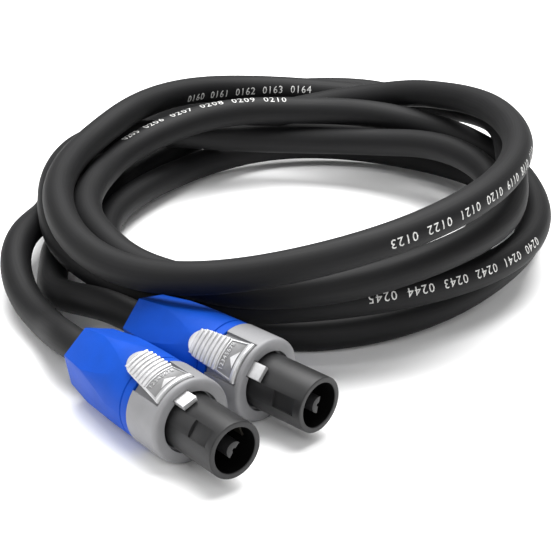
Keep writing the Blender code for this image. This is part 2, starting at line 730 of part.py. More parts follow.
# ---- cable -------------------------------------------------------------------------------------
def coil_route():
    """The coil's axis as it is drawn, before its turns have settled on each other."""
    count = len(COIL_OUT)
    knots = [COIL_FIRST + STATION_STEP * step for step in range(count)]
    step = 360.0 / POINTS_A_TURN / SETTLE_STEPS
    angles = np.arange(knots[0], knots[-1] + 0.5 * step, step)
    tenth = 0.2 * CABLE_R
    aside = natural_spline(knots, COIL_OUT, angles) * tenth
    height = natural_spline(knots, COIL_UP, angles) * tenth
    turn = np.radians(angles)
    wide = np.sin(turn) / COIL_HALF_WIDTHS[0]
    deep = np.cos(turn) / COIL_HALF_WIDTHS[1]
    radius = MM / np.hypot(wide, deep) + aside
    world = math.radians(90 + COIL_FACES) - turn
    x = COIL_CENTRE[0] * MM + radius * np.cos(world)
    y = COIL_CENTRE[1] * MM + radius * np.sin(world)
    return np.stack([x, y, height], axis=1)


def softened(moves, rounds):
    """Shares each point's move with its neighbours, so that the cable bends and doesn't kink."""
    for _ in range(rounds):
        shared = moves.copy()
        shared[1:-1] = (moves[:-2] + 2 * moves[1:-1] + moves[2:]) / 4
        moves = shared
    return moves


def plug_spans(plug):
    """The plug's body as three round bars, for the cable to keep clear of."""
    found = []
    rear = -PLUG_LENGTH
    for low, high, radius in (
        (GREY_END, RING_FACE, HOUSING_R + 0.2 * MM),
        (rear + 18 * MM, GREY_END, BUSHING_R + 0.2 * MM),
        (rear, rear + 18 * MM, BUSHING_R - 1.4 * MM),
    ):
        ends = [np.array(plug.matrix_world @ Vector((x, 0.0, 0.0))) for x in (low, high)]
        found.append((ends[0], ends[1], radius))
    return found


def settled(route, leads, spans):
    """Moves the turns apart where they would touch, and keeps them near the way they are drawn."""
    points = route.copy()
    want = 2 * CABLE_R + SELF_GAP
    count = len(points)
    order = np.arange(count)
    spacing = np.linalg.norm(np.diff(points, axis=0), axis=1).mean()
    own = np.abs(order[:, None] - order[None]) * spacing < 5.3 * CABLE_R
    others = np.concatenate(leads)
    firsts = np.arange(len(others)) < len(leads[0])
    start = (order < 6)[:, None] & firsts[None]
    finish = (order > count - 7)[:, None] & ~firsts[None]
    rounds = 300
    for index in range(rounds):
        moves = np.zeros_like(points)
        for bodies, skip, share in ((points, own, 0.5), (others, start | finish, 1.0)):
            apart = points[:, None] - bodies[None]
            far = np.linalg.norm(apart, axis=-1)
            far[skip] = 1.0
            nearest = far.argmin(axis=1)
            distance = far[order, nearest]
            push = np.clip(want - distance, 0, None) * share
            moves += apart[order, nearest] / distance[:, None] * push[:, None]
        for low, high, radius in spans:
            along = np.clip((points - low) @ (high - low) / ((high - low) @ (high - low)), 0, 1)
            apart = points - (low + along[:, None] * (high - low))
            distance = np.linalg.norm(apart, axis=1)
            push = np.clip(radius + CABLE_R + 0.5 * MM - distance, 0, None)
            moves += apart / distance[:, None] * push[:, None]
        points = points + 1.6 * softened(moves, 4)
        if index < 0.7 * rounds:
            points = points + softened(0.02 * (route - points), 2)
        points[:, 2] = np.maximum(points[:, 2], CABLE_R)
    return points


def lead_points(plug, hand_points, coil_end):
    """Straight out of the plug, along the hand-chosen points and square onto the coil's end."""
    back = plug.matrix_world @ Vector((JACKET_BACK - CLEARANCE, 0.0, 0.0))
    axis = plug.matrix_world.to_3x3() @ Vector((-1.0, 0.0, 0.0))
    way = (coil_end[0] - coil_end[1]).normalized()
    arrive = coil_end[0] + way * CLEARANCE
    straight = 2.5 * CABLE_R
    fixed = [back, back + axis * straight] + [Vector(p) * MM for p in hand_points]
    fixed += [arrive + way * straight, arrive]
    run = [0.0]
    for one, other in zip(fixed, fixed[1:]):
        run.append(run[-1] + (other - one).length)
    count = max(3, round((run[-2] - run[1]) / (4.0 * CABLE_R)))
    wanted = np.linspace(run[1], run[-2], count + 1)
    columns = []
    for column in range(3):
        values = [point[column] for point in fixed]
        columns.append(natural_spline(run, values, wanted))
    columns[2] = np.maximum(columns[2], CABLE_R)
    middle = [Vector(row) for row in zip(*columns)]
    return [back] + middle + [arrive]


def dense(chain, parts=6):
    """Extra points along a route, for measuring."""
    found = []
    for one, other in zip(chain, chain[1:]):
        found += [one.lerp(other, step / parts) for step in range(parts)]
    return found + [chain[-1]]


def least_gap(chains):
    """The least distance between the cable's surfaces, and the cable's length."""
    points = np.array([tuple(point) for chain in chains for point in dense(chain)])
    run = np.concatenate([[0.0], np.cumsum(np.linalg.norm(np.diff(points, axis=0), axis=1))])
    far = np.linalg.norm(points[:, None] - points[None], axis=-1)
    far[np.abs(run[:, None] - run[None]) < 8 * CABLE_R] = 1.0
    return far.min() - 2 * CABLE_R, run[-1]


def add_cable(first_plug, second_plug):
    """The settled coil and its two leads."""
    drawn = coil_route()
    route = [Vector(row) for row in drawn[::SETTLE_STEPS]]
    leads = [
        lead_points(second_plug, LEAD_2, route[:2]),
        lead_points(first_plug, LEAD_1, route[:-3:-1]),
    ]
    lead_rows = [np.array([tuple(point) for point in dense(lead)]) for lead in leads]
    spans = plug_spans(first_plug) + plug_spans(second_plug)
    rows = settled(drawn, lead_rows, spans)[::SETTLE_STEPS]
    coil = [Vector(row) for row in rows]
    lead_2 = lead_points(second_plug, LEAD_2, coil[:2])
    lead_1 = lead_points(first_plug, LEAD_1, coil[:-3:-1])
    tube("coil", coil, CABLE_R, None, BLACK_JACKET, 1)
    tube("lead_2", lead_2, CABLE_R, None, BLACK_JACKET, 2)
    tube("lead_1", lead_1, CABLE_R, None, BLACK_JACKET, 2)
    least, total = least_gap([lead_2, coil, lead_1[::-1]])
    coil_gap = least_gap([coil])[0]
    low = min(point.z for point in coil + lead_1 + lead_2)
    print("coil: least gap to itself %.2f mm" % (coil_gap / MM))
    print("cable: least gap %.2f mm, length %.0f mm" % (least / MM, total / MM))
    print("cable: lowest axis point %.2f mm up" % (low / MM))
    print("points: lead 1 %d, lead 2 %d, coil %d" % (len(lead_1), len(lead_2), len(coil)))


clear_scene()
OBJECTS = new_collection("speaker_cable")
CUTTERS = new_collection("cutters")
CUTTERS.hide_render = True
GREY_PLASTIC = new_material("grey_plastic", (0.32, 0.32, 0.33), 0.45)
BLACK_PLASTIC = new_material("black_plastic", (0.05, 0.05, 0.052), 0.4)
BLUE_PLASTIC = new_material("blue_plastic", (0.01, 0.12, 0.85), 0.5)
WHITE_METAL = new_material("white_metal", (0.75, 0.75, 0.76), 0.35, 0.6)
PLATED_METAL = new_material("plated_metal", (0.7, 0.68, 0.62), 0.3, 1.0)
STEEL = new_material("steel", (0.5, 0.5, 0.5), 0.35, 1.0)
BLACK_NYLON = new_material("black_nylon", (0.03, 0.03, 0.03), 0.55)
BLACK_JACKET = new_material("black_jacket", (0.02, 0.02, 0.02), 0.5)
RED_WIRE = new_material("red_wire", (0.6, 0.03, 0.03), 0.5)
BLACK_WIRE = new_material("black_wire", (0.03, 0.03, 0.03), 0.5)

plug_1 = add_plug(PLUG_1)
plug_2 = add_plug(PLUG_2)
bpy.context.view_layer.update()
add_cable(plug_1, plug_2)
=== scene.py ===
import math

import bmesh
import bpy
import numpy as np
from mathutils import Matrix, Vector


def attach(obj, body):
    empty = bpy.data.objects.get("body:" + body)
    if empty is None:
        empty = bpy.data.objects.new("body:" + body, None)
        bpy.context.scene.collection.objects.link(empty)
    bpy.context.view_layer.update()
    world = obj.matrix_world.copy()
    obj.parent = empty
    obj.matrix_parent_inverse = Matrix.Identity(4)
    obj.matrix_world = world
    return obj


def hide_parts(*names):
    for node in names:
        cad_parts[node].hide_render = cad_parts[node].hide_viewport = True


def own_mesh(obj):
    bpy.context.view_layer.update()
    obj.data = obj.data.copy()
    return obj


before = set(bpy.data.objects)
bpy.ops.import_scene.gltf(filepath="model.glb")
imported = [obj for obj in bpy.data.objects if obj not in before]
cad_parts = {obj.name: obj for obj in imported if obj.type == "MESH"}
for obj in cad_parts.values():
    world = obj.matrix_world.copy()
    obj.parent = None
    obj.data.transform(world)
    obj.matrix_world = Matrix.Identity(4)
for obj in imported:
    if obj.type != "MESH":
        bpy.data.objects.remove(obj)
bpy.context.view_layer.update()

bl_info = {
    "name": "Coiled Speaker Cable",
    "version": (1, 0, 0),
    "blender": (4, 5, 0),
    "location": "3D View > Sidebar > Cable",
    "description": "Builds a coiled loudspeaker cable with a twist-lock plug at each end",
    "category": "Add Mesh",
}

MM = 0.001
SAME_POINT = 1e-7
CORNER_STEPS = 5
ARC_STEPS = 24
SHARP = 38                    # degrees from which an edge counts as sharp
PAST = 3.0 * MM               # how far a cutter reaches past the wall that it cuts

# Sizes that the solids share, in metres.
CLEARANCE = 0.3 * MM
CABLE_R = 5.7 * MM
BARREL_R = 9.4 * MM
BORE_R = 7.5 * MM
BORE_DEPTH = 17.0 * MM
POST_R = 2.75 * MM
PLUG_LENGTH = 77.5 * MM
HOUSING_R = 14.25 * MM
RING_FACE = -21.7 * MM
GREY_END = RING_FACE - 14.9 * MM
THREAD_R = 11.0 * MM
TAIL_END = GREY_END - 15.4 * MM
BUSHING_R = 14.0 * MM
BUSHING_END_R = 11.6 * MM
INNER_R = BARREL_R + CLEARANCE
STEP_BACK = RING_FACE - 2.5 * MM
CHAMBER_FRONT = STEP_BACK - 0.4 * MM
INSERT_END = GREY_END - 0.1 * MM
LATCH_FRONT = RING_FACE - 2.0 * MM
LATCH_LENGTH = 21.0 * MM
LATCH_END = LATCH_FRONT - LATCH_LENGTH
LATCH_WIDTH = 14.3 * MM
LATCH_TRAVEL = 3.0 * MM
LATCH_RISE = 2.4 * MM
LATCH_SEAT = HOUSING_R - 1.05 * MM
LATCH_LOW = LATCH_SEAT + CLEARANCE
LATCH_STEP = GREY_END + LATCH_TRAVEL + CLEARANCE
LATCH_HIGH = HOUSING_R + 0.35 * MM
TONGUE_WIDTH = 5.2 * MM
TONGUE_TOP = INNER_R + 1.6 * MM
BAR_END = RING_FACE - 8.1 * MM
WEB_FRONT = RING_FACE - 4.6 * MM
WEB_BACK = BAR_END + 0.2 * MM
WEB_HALF = 2.0 * MM
RIBS_FRONT = LATCH_FRONT - 8.2 * MM
RING_HOLE_R = BARREL_R + 0.8 * MM
LATCH_ROOM = 0.35 * MM        # between the latch and the sides of its seat
POCKET_FRONT = -3.0 * MM
POCKET_BACK = -11.5 * MM
POCKET_HALF = 2.8 * MM
POCKET_DEPTH = 1.1 * MM
POCKET_TURN = math.radians(-56)
POST_WALL = 2.1 * MM
POST_BACK = 0.5 * MM
POST_TURN = -62
POST_HALF_OPEN = 86
CHAMBER_NEAR = 1.6 * MM
CHAMBER_FAR = 7.4 * MM
CHAMBER_HALF = 2.9 * MM
SLOT_NEAR = 5.9 * MM
SLOT_FAR = 7.1 * MM
SLOT_HALF = 2.1 * MM
SPRING_OUTER_R = 0.98 * MM
SPRING_AXIS = INNER_R + 0.15 * MM + SPRING_OUTER_R
SPRING_ROOM_END = GREY_END + 1.0 * MM
JACKET_FRONT = TAIL_END - 3.0 * MM
JACKET_BACK = -PLUG_LENGTH - 0.4 * MM
THREAD_ROOM_R = THREAD_R + 0.4 * MM
THREAD_ROOM_END = TAIL_END - 2.6 * MM
CHUCK_END = -66.0 * MM
CHUCK_ROOM_END = CHUCK_END - 0.4 * MM
NUT_HOLE_R = CABLE_R + 0.4 * MM
GROOVE_AT = GREY_END - 3.6 * MM
GROOVE_R = BUSHING_R - 0.45 * MM
FLATS_HALF = 9.75 * MM        # from the axis to a flat, at the nut's rear end
FLATS_SLOPE = 0.142
FLATS_SHARP = 14

# The latch's front half in mm: how far behind its front, and how high above the housing.
LATCH_PROFILE = ((0.0, 0.5), (0.12, 0.8), (0.35, 0.95), (1.15, 0.95), (1.3, 0.88), (1.4, 0.74))
LATCH_DOME = 4.0 * MM         # how long the round fall to the rear is
DOME_TOP = 0.84               # in mm above the housing
DOME_FALL = 0.7               # in mm, at the very end
LATCH_NARROWS = 0.46          # the share of its width that the latch loses to the rear
RIM_START = 0.93              # from the middle to the side, where the latch starts to round off
RIM_WIDTH = 0.07
RIM_DROP = 0.22 * MM
LATCH_STEPS = 40
FIGURE_SHARE = 0.7            # the height of a figure as a share of the font's size
NOSE_START = 0.78             # where the round rear end begins, as a share of the latch's length

# Where the plugs lie: front rim centre in mm, then roll, tilt and turn in degrees.
PLUGS = {
    "plug1": ((42.54, -17.04, 14.25), (21.0, 0.0, 0.0)),
    "plug2": ((35.76, 20.94, 13.50), (46.5, 1.86, 9.2)),
}
# Where each nut's flats meet, in degrees round from the latch.
NUT_CORNERS = {"plug1": 10.0, "plug2": 29.0}

# The coil is drawn round an oval, in mm, whose angles start at COIL_FACES degrees past +Y. At every
# twelfth of a turn COIL_OUT says how far out its axis lies, and COIL_UP how high, both in tenths
# of a cable diameter.
COIL_CENTRE = (-89.5, 114.9)
COIL_HALF_WIDTHS = (90.5, 92.5)
COIL_FACES = 51.6
COIL_FIRST = -90.0
STATION_STEP = 30.0
POINTS_A_TURN = 24

# How the drawn turns settle on each other.
SETTLE_STEPS = 3              # points that are moved, for each point of the route
SETTLE_ROUNDS = 300
SETTLE_PULL = 0.02            # the share of the way back to the drawn route
SETTLE_FREE = 0.7             # the share of the rounds that pull back
SETTLE_PUSH = 1.6
SELF_GAP = 1.3 * MM
OWN_LENGTH = 5.3 * CABLE_R    # nearer than this along the cable, two points are the same stretch
END_POINTS = 6                # points of the coil's ends that keep their distance to no lead
PLUG_GAP = 0.5 * MM
COIL_OUT = (
    -1, -5, -2, -3, -5, -9, -9, -2, 10, 20, 22, 9,
    -3, -7, 0, 7, 6, 0, -8, -3, 5, 11, 9, -1,
    -10, -13, -19, -19, -14, -6, -1, 3, 3, 4, 6, 7,
    4, -1, -13, -21, -22, -18, -13, -13, -14, -14, -13, -12,
    -13, -16, -10, -3, 1, 2, 0, -3, -2, 0, -2, -3,
    -3, 2, 10, 14,
)
COIL_UP = (
    5, 6, 13, 22, 32, 40, 44, 46, 45, 38, 30, 32,
    32, 34, 32, 26, 26, 32, 32, 29, 29, 25, 24, 26,
    24, 24, 28, 27, 26, 23, 20, 18, 18, 17, 14, 17,
    24, 25, 18, 16, 19, 23, 22, 18, 12, 7, 5, 6,
    8, 8, 7, 7, 6, 7, 8, 9, 7, 5, 6, 11,
    16, 14, 11, 7,
)

# The leads' points on their way from each plug to the coil, in mm.
LEAD_2 = ((-70, 5, 14), (-89, 6, 10), (-107, 11, 6), (-121, 21, 6))
LEAD_1 = (
    (-67, -12.5, 10.3), (-95, -6.6, 10), (-127, 10, 16), (-149, 35, 14), (-175, 59, 11),
    (-194, 89, 6), (-219, 119, 6), (-237, 154, 6), (-239, 189, 6), (-226.1, 217.1, 6),
    (-211.6, 238.9, 6), (-185.4, 252.8, 6), (-162.3, 243.7, 6), (-153.2, 225.7, 6),
)


# ---- sizes and colours that a user may change ----
def colour(name, text, shade):
    """A setting that holds an sRGB hex colour."""
    return bpy.props.StringProperty(name=name, description=text, default=shade)


def length(name, text, metres):
    """A setting that holds a length."""
    return bpy.props.FloatProperty(
        name=name, description=text, default=metres, unit="LENGTH", precision=5)


def power(name, text, watts):
    """A setting that holds a lamp's power."""
    return bpy.props.FloatProperty(name=name, description=text, default=watts, unit="POWER")


class CableSettings(bpy.types.PropertyGroup):
    """Sizes and colours of the cable's jacket."""

    diameter: length("Diameter", "Outside of the jacket", 2 * CABLE_R)
    ring_spacing: length(
        "Ring spacing", "Distance between two rings of the jacket's mesh", 2.3 * MM)
    sides: bpy.props.IntProperty(
        name="Sides", description="Points round the jacket", default=28, min=8)
    jacket: colour("Jacket", "Black satin rubber", "#080809")
    print_height: length("Print height", "Height of the printed figures", 3.2 * MM)
    print_colour: colour("Print", "Ink of the length marks", "#d8d8d6")


class PlugSettings(bpy.types.PropertyGroup):
    """Sizes and colours of the two plugs."""

    steps: bpy.props.IntProperty(
        name="Steps", description="Points round a turned piece", default=96, min=24)
    edge: length("Edge", "Rounding of the moulded edges", 0.18 * MM)
    rib_count: bpy.props.IntProperty(
        name="Ribs", description="Ribs across the latch", default=7, min=1)
    rib_pitch: length("Rib pitch", "Distance between two ribs", 1.55 * MM)
    housing: colour("Housing", "Grey polyamide", "#777779")
    insert: colour("Insert", "Dark grey polyamide", "#161617")
    # The bore colour is painted shade: a near-black put on the bore's walls and floor, where the
    # insert's plastic lies in shade.
    bore: colour("Bore", "Black polyamide deep in the bore", "#030303")
    bushing: colour("Bushing", "Blue polyamide", "#003fa0")
    latch: colour("Latch", "Satin zinc casting", "#c2c2c3")
    panel: colour("Panel", "Shot-blasted ground of the latch's panel", "#7d7d7e")


class StageSettings(bpy.types.PropertyGroup):
    """The floor, the light and the camera."""

    floor: colour("Floor", "Plain white floor", "#fbfbfb")
    key_power: power("Key light", "Power of the large light overhead", 60.0)
    fill_power: power("Fill light", "Power of the light from the front", 10.0)
    surround: bpy.props.FloatProperty(
        name="Surround", description="Strength of the even light from all round", default=0.19)
    lens: bpy.props.FloatProperty(
        name="Lens", description="Focal length on a 36 mm sensor", default=111.9, unit="CAMERA")


# ---- materials ----
def linear(shade):
    """An sRGB hex colour as linear numbers with alpha."""
    parts = [int(shade[place:place + 2], 16) / 255 for place in (1, 3, 5)]
    made = [part / 12.92 if part <= 0.04045 else ((part + 0.055) / 1.055) ** 2.4
            for part in parts]
    return (*made, 1.0)


def add(tree, kind, values=None, links=None, **settings):
    """One node with its settings, its input values and the sockets that feed it."""
    made = tree.nodes.new(kind)
    for name, value in settings.items():
        setattr(made, name, value)
    for name, value in (values or {}).items():
        made.inputs[name].default_value = value
    for name, socket in (links or {}).items():
        tree.links.new(socket, made.inputs[name])
    return made


def new_material(name, roughness, metallic=0.0, ior=1.5):
    """A material with its node tree and its shader."""
    material = bpy.data.materials.new(name)
    material.use_nodes = True
    shader = material.node_tree.nodes["Principled BSDF"]
    shader.inputs["Roughness"].default_value = roughness
    shader.inputs["Metallic"].default_value = metallic
    if not metallic:
        shader.inputs["IOR"].default_value = ior
    return material, material.node_tree, shader


def noise(tree, place, size, detail=2.0):
    """Soft noise whose patches have this size in metres."""
    return add(tree, "ShaderNodeTexNoise", {"Scale": 1 / size, "Detail": detail},
               {"Vector": place}).outputs["Fac"]


def mottled(tree, shader, place, shade, part, size):
    """Feeds the shader's colour from the shade and part of it, which a soft noise mixes."""
    mix = noise(tree, place, size, 3.0)
    ramp = add(tree, "ShaderNodeValToRGB", links={"Fac": mix})
    for stop, spot, colours in zip(ramp.color_ramp.elements, (0.35, 0.65),
                                   (shade, shaded(shade, part))):
        stop.position = spot
        stop.color = linear(colours)
    tree.links.new(ramp.outputs["Color"], shader.inputs["Base Color"])
    return mix


def shaded(shade, part):
    """The hex colour made lighter, or darker below 1."""
    parts = [min(255, round(int(shade[place:place + 2], 16) * part)) for place in (1, 3, 5)]
    return "#%02x%02x%02x" % tuple(parts)


def rough_from(tree, shader, socket, low, high):
    """Feeds the shader's roughness from a socket, spread from low to high."""
    spread = add(tree, "ShaderNodeMapRange", {"To Min": low, "To Max": high}, {"Value": socket})
    tree.links.new(spread.outputs["Result"], shader.inputs["Roughness"])


def bumped(tree, shader, socket, depth, strength):
    """A bump whose full height is depth, in metres."""
    made = add(tree, "ShaderNodeBump", {"Strength": strength, "Distance": depth},
               {"Height": socket})
    tree.links.new(made.outputs["Normal"], shader.inputs["Normal"])
    return made


def grained(name, shade, roughness, spread, part, patch, grain, detail, strength, **kind):
    """A satin material, mottled in patches of this size and with a fine grain over it."""
    material, tree, shader = new_material(name, roughness, **kind)
    place = add(tree, "ShaderNodeTexCoord").outputs["Object"]
    mottled(tree, shader, place, shade, part, patch)
    fine = noise(tree, place, grain, detail)
    rough_from(tree, shader, fine, roughness - spread, roughness + spread)
    bumped(tree, shader, fine, 0.02 * MM, strength)
    return material


def moulded_plastic(name, shade, roughness, grit=0.35, ior=1.53):
    """Glass-filled polyamide as it leaves a spark-eroded mould: even satin with a fine grit."""
    return grained(name, shade, roughness, 0.06, 1.06, 9 * MM, grit * MM, 2.0, 0.6, ior=ior)


def satin_casting(name, shade, roughness=0.38):
    """Zinc casting, tumbled and plated with satin nickel: bright, softly blurred reflections."""
    return grained(name, shade, roughness, 0.07, 0.94, 3 * MM, 0.25 * MM, 3.0, 0.5,
                   metallic=0.55)


def plain_metal(name, shade, roughness):
    """Drawn or turned metal with fine marks left by the tool."""
    material, tree, shader = new_material(name, roughness, metallic=1.0)
    place = add(tree, "ShaderNodeTexCoord").outputs["Object"]
    lines = add(tree, "ShaderNodeMapping",
                {"Scale": (1 / (4 * MM), 1 / (0.2 * MM), 1 / (0.2 * MM))}, {"Vector": place})
    marks = mottled(tree, shader, lines.outputs["Vector"], shade, 0.9, 1.0)
    rough_from(tree, shader, marks, roughness - 0.05, roughness + 0.1)
    return material


def rubber_jacket(name, shade):
    """Extruded soft rubber: matt black with a faint lay of the cores under it and die streaks."""
    material, tree, shader = new_material(name, 0.65, ior=1.34)
    flat = add(tree, "ShaderNodeUVMap", uv_map="along").outputs["UV"]
    mottled(tree, shader, flat, shade, 1.18, 14 * MM)
    streaks = add(tree, "ShaderNodeMapping", {"Scale": (1 / (30 * MM), 1 / (0.8 * MM), 1.0)},
                  {"Vector": flat})
    rough_from(tree, shader, noise(tree, streaks.outputs["Vector"], 1.0), 0.56, 0.72)
    fine = bumped(tree, shader, noise(tree, flat, 0.5 * MM, 3.0), 0.03 * MM, 0.5)
    soft = add(tree, "ShaderNodeBump", {"Strength": 0.5, "Distance": 0.5 * MM},
               {"Height": noise(tree, flat, 22 * MM, 1.0)})
    tree.links.new(soft.outputs["Normal"], fine.inputs["Normal"])
    return material


def printed_ink(name, shade):
    """White marking ink, thin and a little worn."""
    material, tree, shader = new_material(name, 0.6)
    place = add(tree, "ShaderNodeTexCoord").outputs["Object"]
    mottled(tree, shader, place, shade, 0.8, 0.8 * MM)
    return material


# ---- shapes ----
def plug_place(name):
    """The matrix that puts a plug's own shapes where the plug lies."""
    spot, turns = PLUGS[name]
    place = Matrix.Translation(Vector(spot) * MM)
    for axis, degrees in zip("ZYX", reversed(turns)):
        place @= Matrix.Rotation(math.radians(degrees), 4, axis)
    return place


def placed(name, data):
    """A new object in the scene."""
    made = bpy.data.objects.new(name, data)
    bpy.context.scene.collection.objects.link(made)
    return made


def baked(holder, *helpers):
    """The holder's mesh with its modifiers done. The holder and its helpers are then deleted."""
    graph = bpy.context.evaluated_depsgraph_get()
    mesh = bpy.data.meshes.new_from_object(holder.evaluated_get(graph))
    for obj in (holder, *helpers):
        bpy.data.objects.remove(obj, do_unlink=True)
    return mesh


def mesh_from(name, shape):
    """A new mesh with this bmesh's shape."""
    mesh = bpy.data.meshes.new(name)
    shape.to_mesh(mesh)
    shape.free()
    return mesh


def mesh_of(name, points, faces):
    """A mesh of these points and faces, joined up."""
    mesh = bpy.data.meshes.new(name)
    mesh.from_pydata([tuple(point) for point in points], [], faces)
    tidy_mesh(mesh)
    return mesh


def tidy_mesh(mesh):
    """Joins points that coincide and turns the faces outwards."""
    shape = bmesh.new()
    shape.from_mesh(mesh)
    bmesh.ops.remove_doubles(shape, verts=shape.verts, dist=SAME_POINT)
    bmesh.ops.recalc_face_normals(shape, faces=shape.faces)
    shape.to_mesh(mesh)
    shape.free()


def rounded(outline):
    """Outline points, each (x, r) or (x, r, size), with the sized corners turned into arcs."""
    found = []
    count = len(outline)
    for index, spot in enumerate(outline):
        here = Vector(spot[:2])
        size = spot[2] if len(spot) > 2 else 0.0
        if not size:
            found.append(tuple(here))
            continue
        before = Vector(outline[index - 1][:2]) - here
        after = Vector(outline[(index + 1) % count][:2]) - here
        half = before.angle(after) / 2
        back = min(size / math.tan(half), 0.49 * before.length, 0.49 * after.length)
        start = here + before.normalized() * back
        end = here + after.normalized() * back
        for step in range(CORNER_STEPS + 1):
            part = step / CORNER_STEPS
            near = start.lerp(here, part)
            far = here.lerp(end, part)
            found.append(tuple(near.lerp(far, part)))
    return found


def turned(name, outline, steps):
    """A closed outline of (x, radius) points turned round the X axis."""
    profile = rounded(outline)
    angles = np.arange(steps) * 2 * math.pi / steps
    points = []
    for x, radius in profile:
        for angle in angles:
            points.append((x, radius * math.sin(angle), radius * math.cos(angle)))
    faces = []
    for ring in range(len(profile)):
        other = (ring + 1) % len(profile)
        if profile[ring][1] <= 0 and profile[other][1] <= 0:
            continue
        for step in range(steps):
            after = (step + 1) % steps
            faces.append((ring * steps + step, ring * steps + after,
                          other * steps + after, other * steps + step))
    return mesh_of(name, points, faces)


def lofted(name, sections):
    """Rings of points joined one to the next, with both ends closed."""
    points = [point for section in sections for point in section]
    count = len(sections[0])
    faces = [tuple(range(count)), tuple(range(len(points) - 1, len(points) - count - 1, -1))]
    for index in range(len(sections) - 1):
        base = index * count
        for step in range(count):
            after = (step + 1) % count
            faces.append((base + step, base + after, base + count + after, base + count + step))
    return mesh_of(name, points, faces)


def block(name, low, high):
    """A box between these two corners."""
    shape = bmesh.new()
    size = Matrix.Diagonal((*(Vector(high) - Vector(low)), 1.0))
    middle = Matrix.Translation((Vector(low) + Vector(high)) / 2)
    bmesh.ops.create_cube(shape, size=1.0, matrix=middle @ size)
    return mesh_from(name, shape)


def side_block(name, side, back, front, reach, half):
    """A box to one side of the axis (-1 or 1), between two distances from it."""
    near, far = sorted(side * distance for distance in reach)
    return block(name, (back, near, -half), (front, far, half))


def arc_ring(x, radius, half, steps=ARC_STEPS):
    """Points across the top of a cylinder about the X axis, from one side to the other."""
    found = []
    for step in range(steps + 1):
        turn = half * (2 * step / steps - 1)
        found.append((x, radius * math.sin(turn), radius * math.cos(turn)))
    return found


def carved(base, changes, edge=0.0, sharp=SHARP):
    """The base mesh with each (operation, mesh) done in turn, and its edges rounded."""
    holder = placed(base.name, base)
    helpers = []
    for operation, mesh in changes:
        helpers.append(placed("helper", mesh))
        step = holder.modifiers.new("step", "BOOLEAN")
        step.operation = operation
        step.solver = "EXACT"
        step.object = helpers[-1]
    if edge:
        soften = holder.modifiers.new("edges", "BEVEL")
        soften.width = edge
        soften.segments = 2
        soften.limit_method = "ANGLE"
        soften.angle_limit = math.radians(sharp)
    return baked(holder, *helpers)


def finish_piece(name, mesh, material, body, nodes=(), place=None, sharp=SHARP):
    """A mesh as a piece of the object, in its place, riding on its body."""
    if place is not None:
        mesh.transform(place)
    mesh.materials.clear()
    mesh.materials.append(material)
    mesh.shade_smooth()
    mesh.set_sharp_from_angle(angle=math.radians(sharp))
    piece = placed(name, mesh)
    if nodes:
        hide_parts(*nodes)
    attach(piece, body)
    return piece


# ---- the cable's way ----
def natural_spline(knots, values, wanted):
    """The smoothest cubic curve through these values, read at the wanted places."""
    knots = np.asarray(knots, float)
    values = np.asarray(values, float)
    wanted = np.asarray(wanted, float)
    gaps = np.diff(knots)
    slopes = np.diff(values) / gaps
    count = len(knots)
    matrix = np.eye(count)
    right = np.zeros(count)
    for index in range(1, count - 1):
        matrix[index, index - 1] = gaps[index - 1]
        matrix[index, index] = 2 * (gaps[index - 1] + gaps[index])
        matrix[index, index + 1] = gaps[index]
        right[index] = 6 * (slopes[index] - slopes[index - 1])
    bend = np.linalg.solve(matrix, right)
    place = np.clip(np.searchsorted(knots, wanted) - 1, 0, count - 2)
    gap = gaps[place]
    after = wanted - knots[place]
    before = knots[place + 1] - wanted
    cubic = (bend[place] * before**3 + bend[place + 1] * after**3) / (6 * gap)
    start = (values[place] / gap - bend[place] * gap / 6) * before
    end = (values[place + 1] / gap - bend[place + 1] * gap / 6) * after
    return cubic + start + end


def coil_route():
    """The coil's axis as it is drawn, before its turns have settled on each other."""
    count = len(COIL_OUT)
    knots = [COIL_FIRST + STATION_STEP * step for step in range(count)]
    step = 360.0 / POINTS_A_TURN / SETTLE_STEPS
    angles = np.arange(knots[0], knots[-1] + 0.5 * step, step)
    tenth = 0.2 * CABLE_R
    aside = natural_spline(knots, COIL_OUT, angles) * tenth
    height = natural_spline(knots, COIL_UP, angles) * tenth
    turn = np.radians(angles)
    wide = np.sin(turn) / COIL_HALF_WIDTHS[0]
    deep = np.cos(turn) / COIL_HALF_WIDTHS[1]
    radius = MM / np.hypot(wide, deep) + aside
    world = math.radians(90 + COIL_FACES) - turn
    x = COIL_CENTRE[0] * MM + radius * np.cos(world)
    y = COIL_CENTRE[1] * MM + radius * np.sin(world)
    return np.stack([x, y, height], axis=1)


def softened(moves, rounds):
    """Shares each point's move with its neighbours, so that the cable bends and doesn't kink."""
    for _ in range(rounds):
        shared = moves.copy()
        shared[1:-1] = (moves[:-2] + 2 * moves[1:-1] + moves[2:]) / 4
        moves = shared
    return moves


def plug_spans(place):
    """The plug's body as three round bars, for the cable to keep clear of."""
    rear = -PLUG_LENGTH
    narrow = rear + 18 * MM
    found = []
    for low, high, radius in (
        (GREY_END, RING_FACE, HOUSING_R + 0.2 * MM),
        (narrow, GREY_END, BUSHING_R + 0.2 * MM),
        (rear, narrow, BUSHING_R - 1.4 * MM),
    ):
        ends = [np.array(place @ Vector((x, 0.0, 0.0))) for x in (low, high)]
        found.append((*ends, radius))
    return found


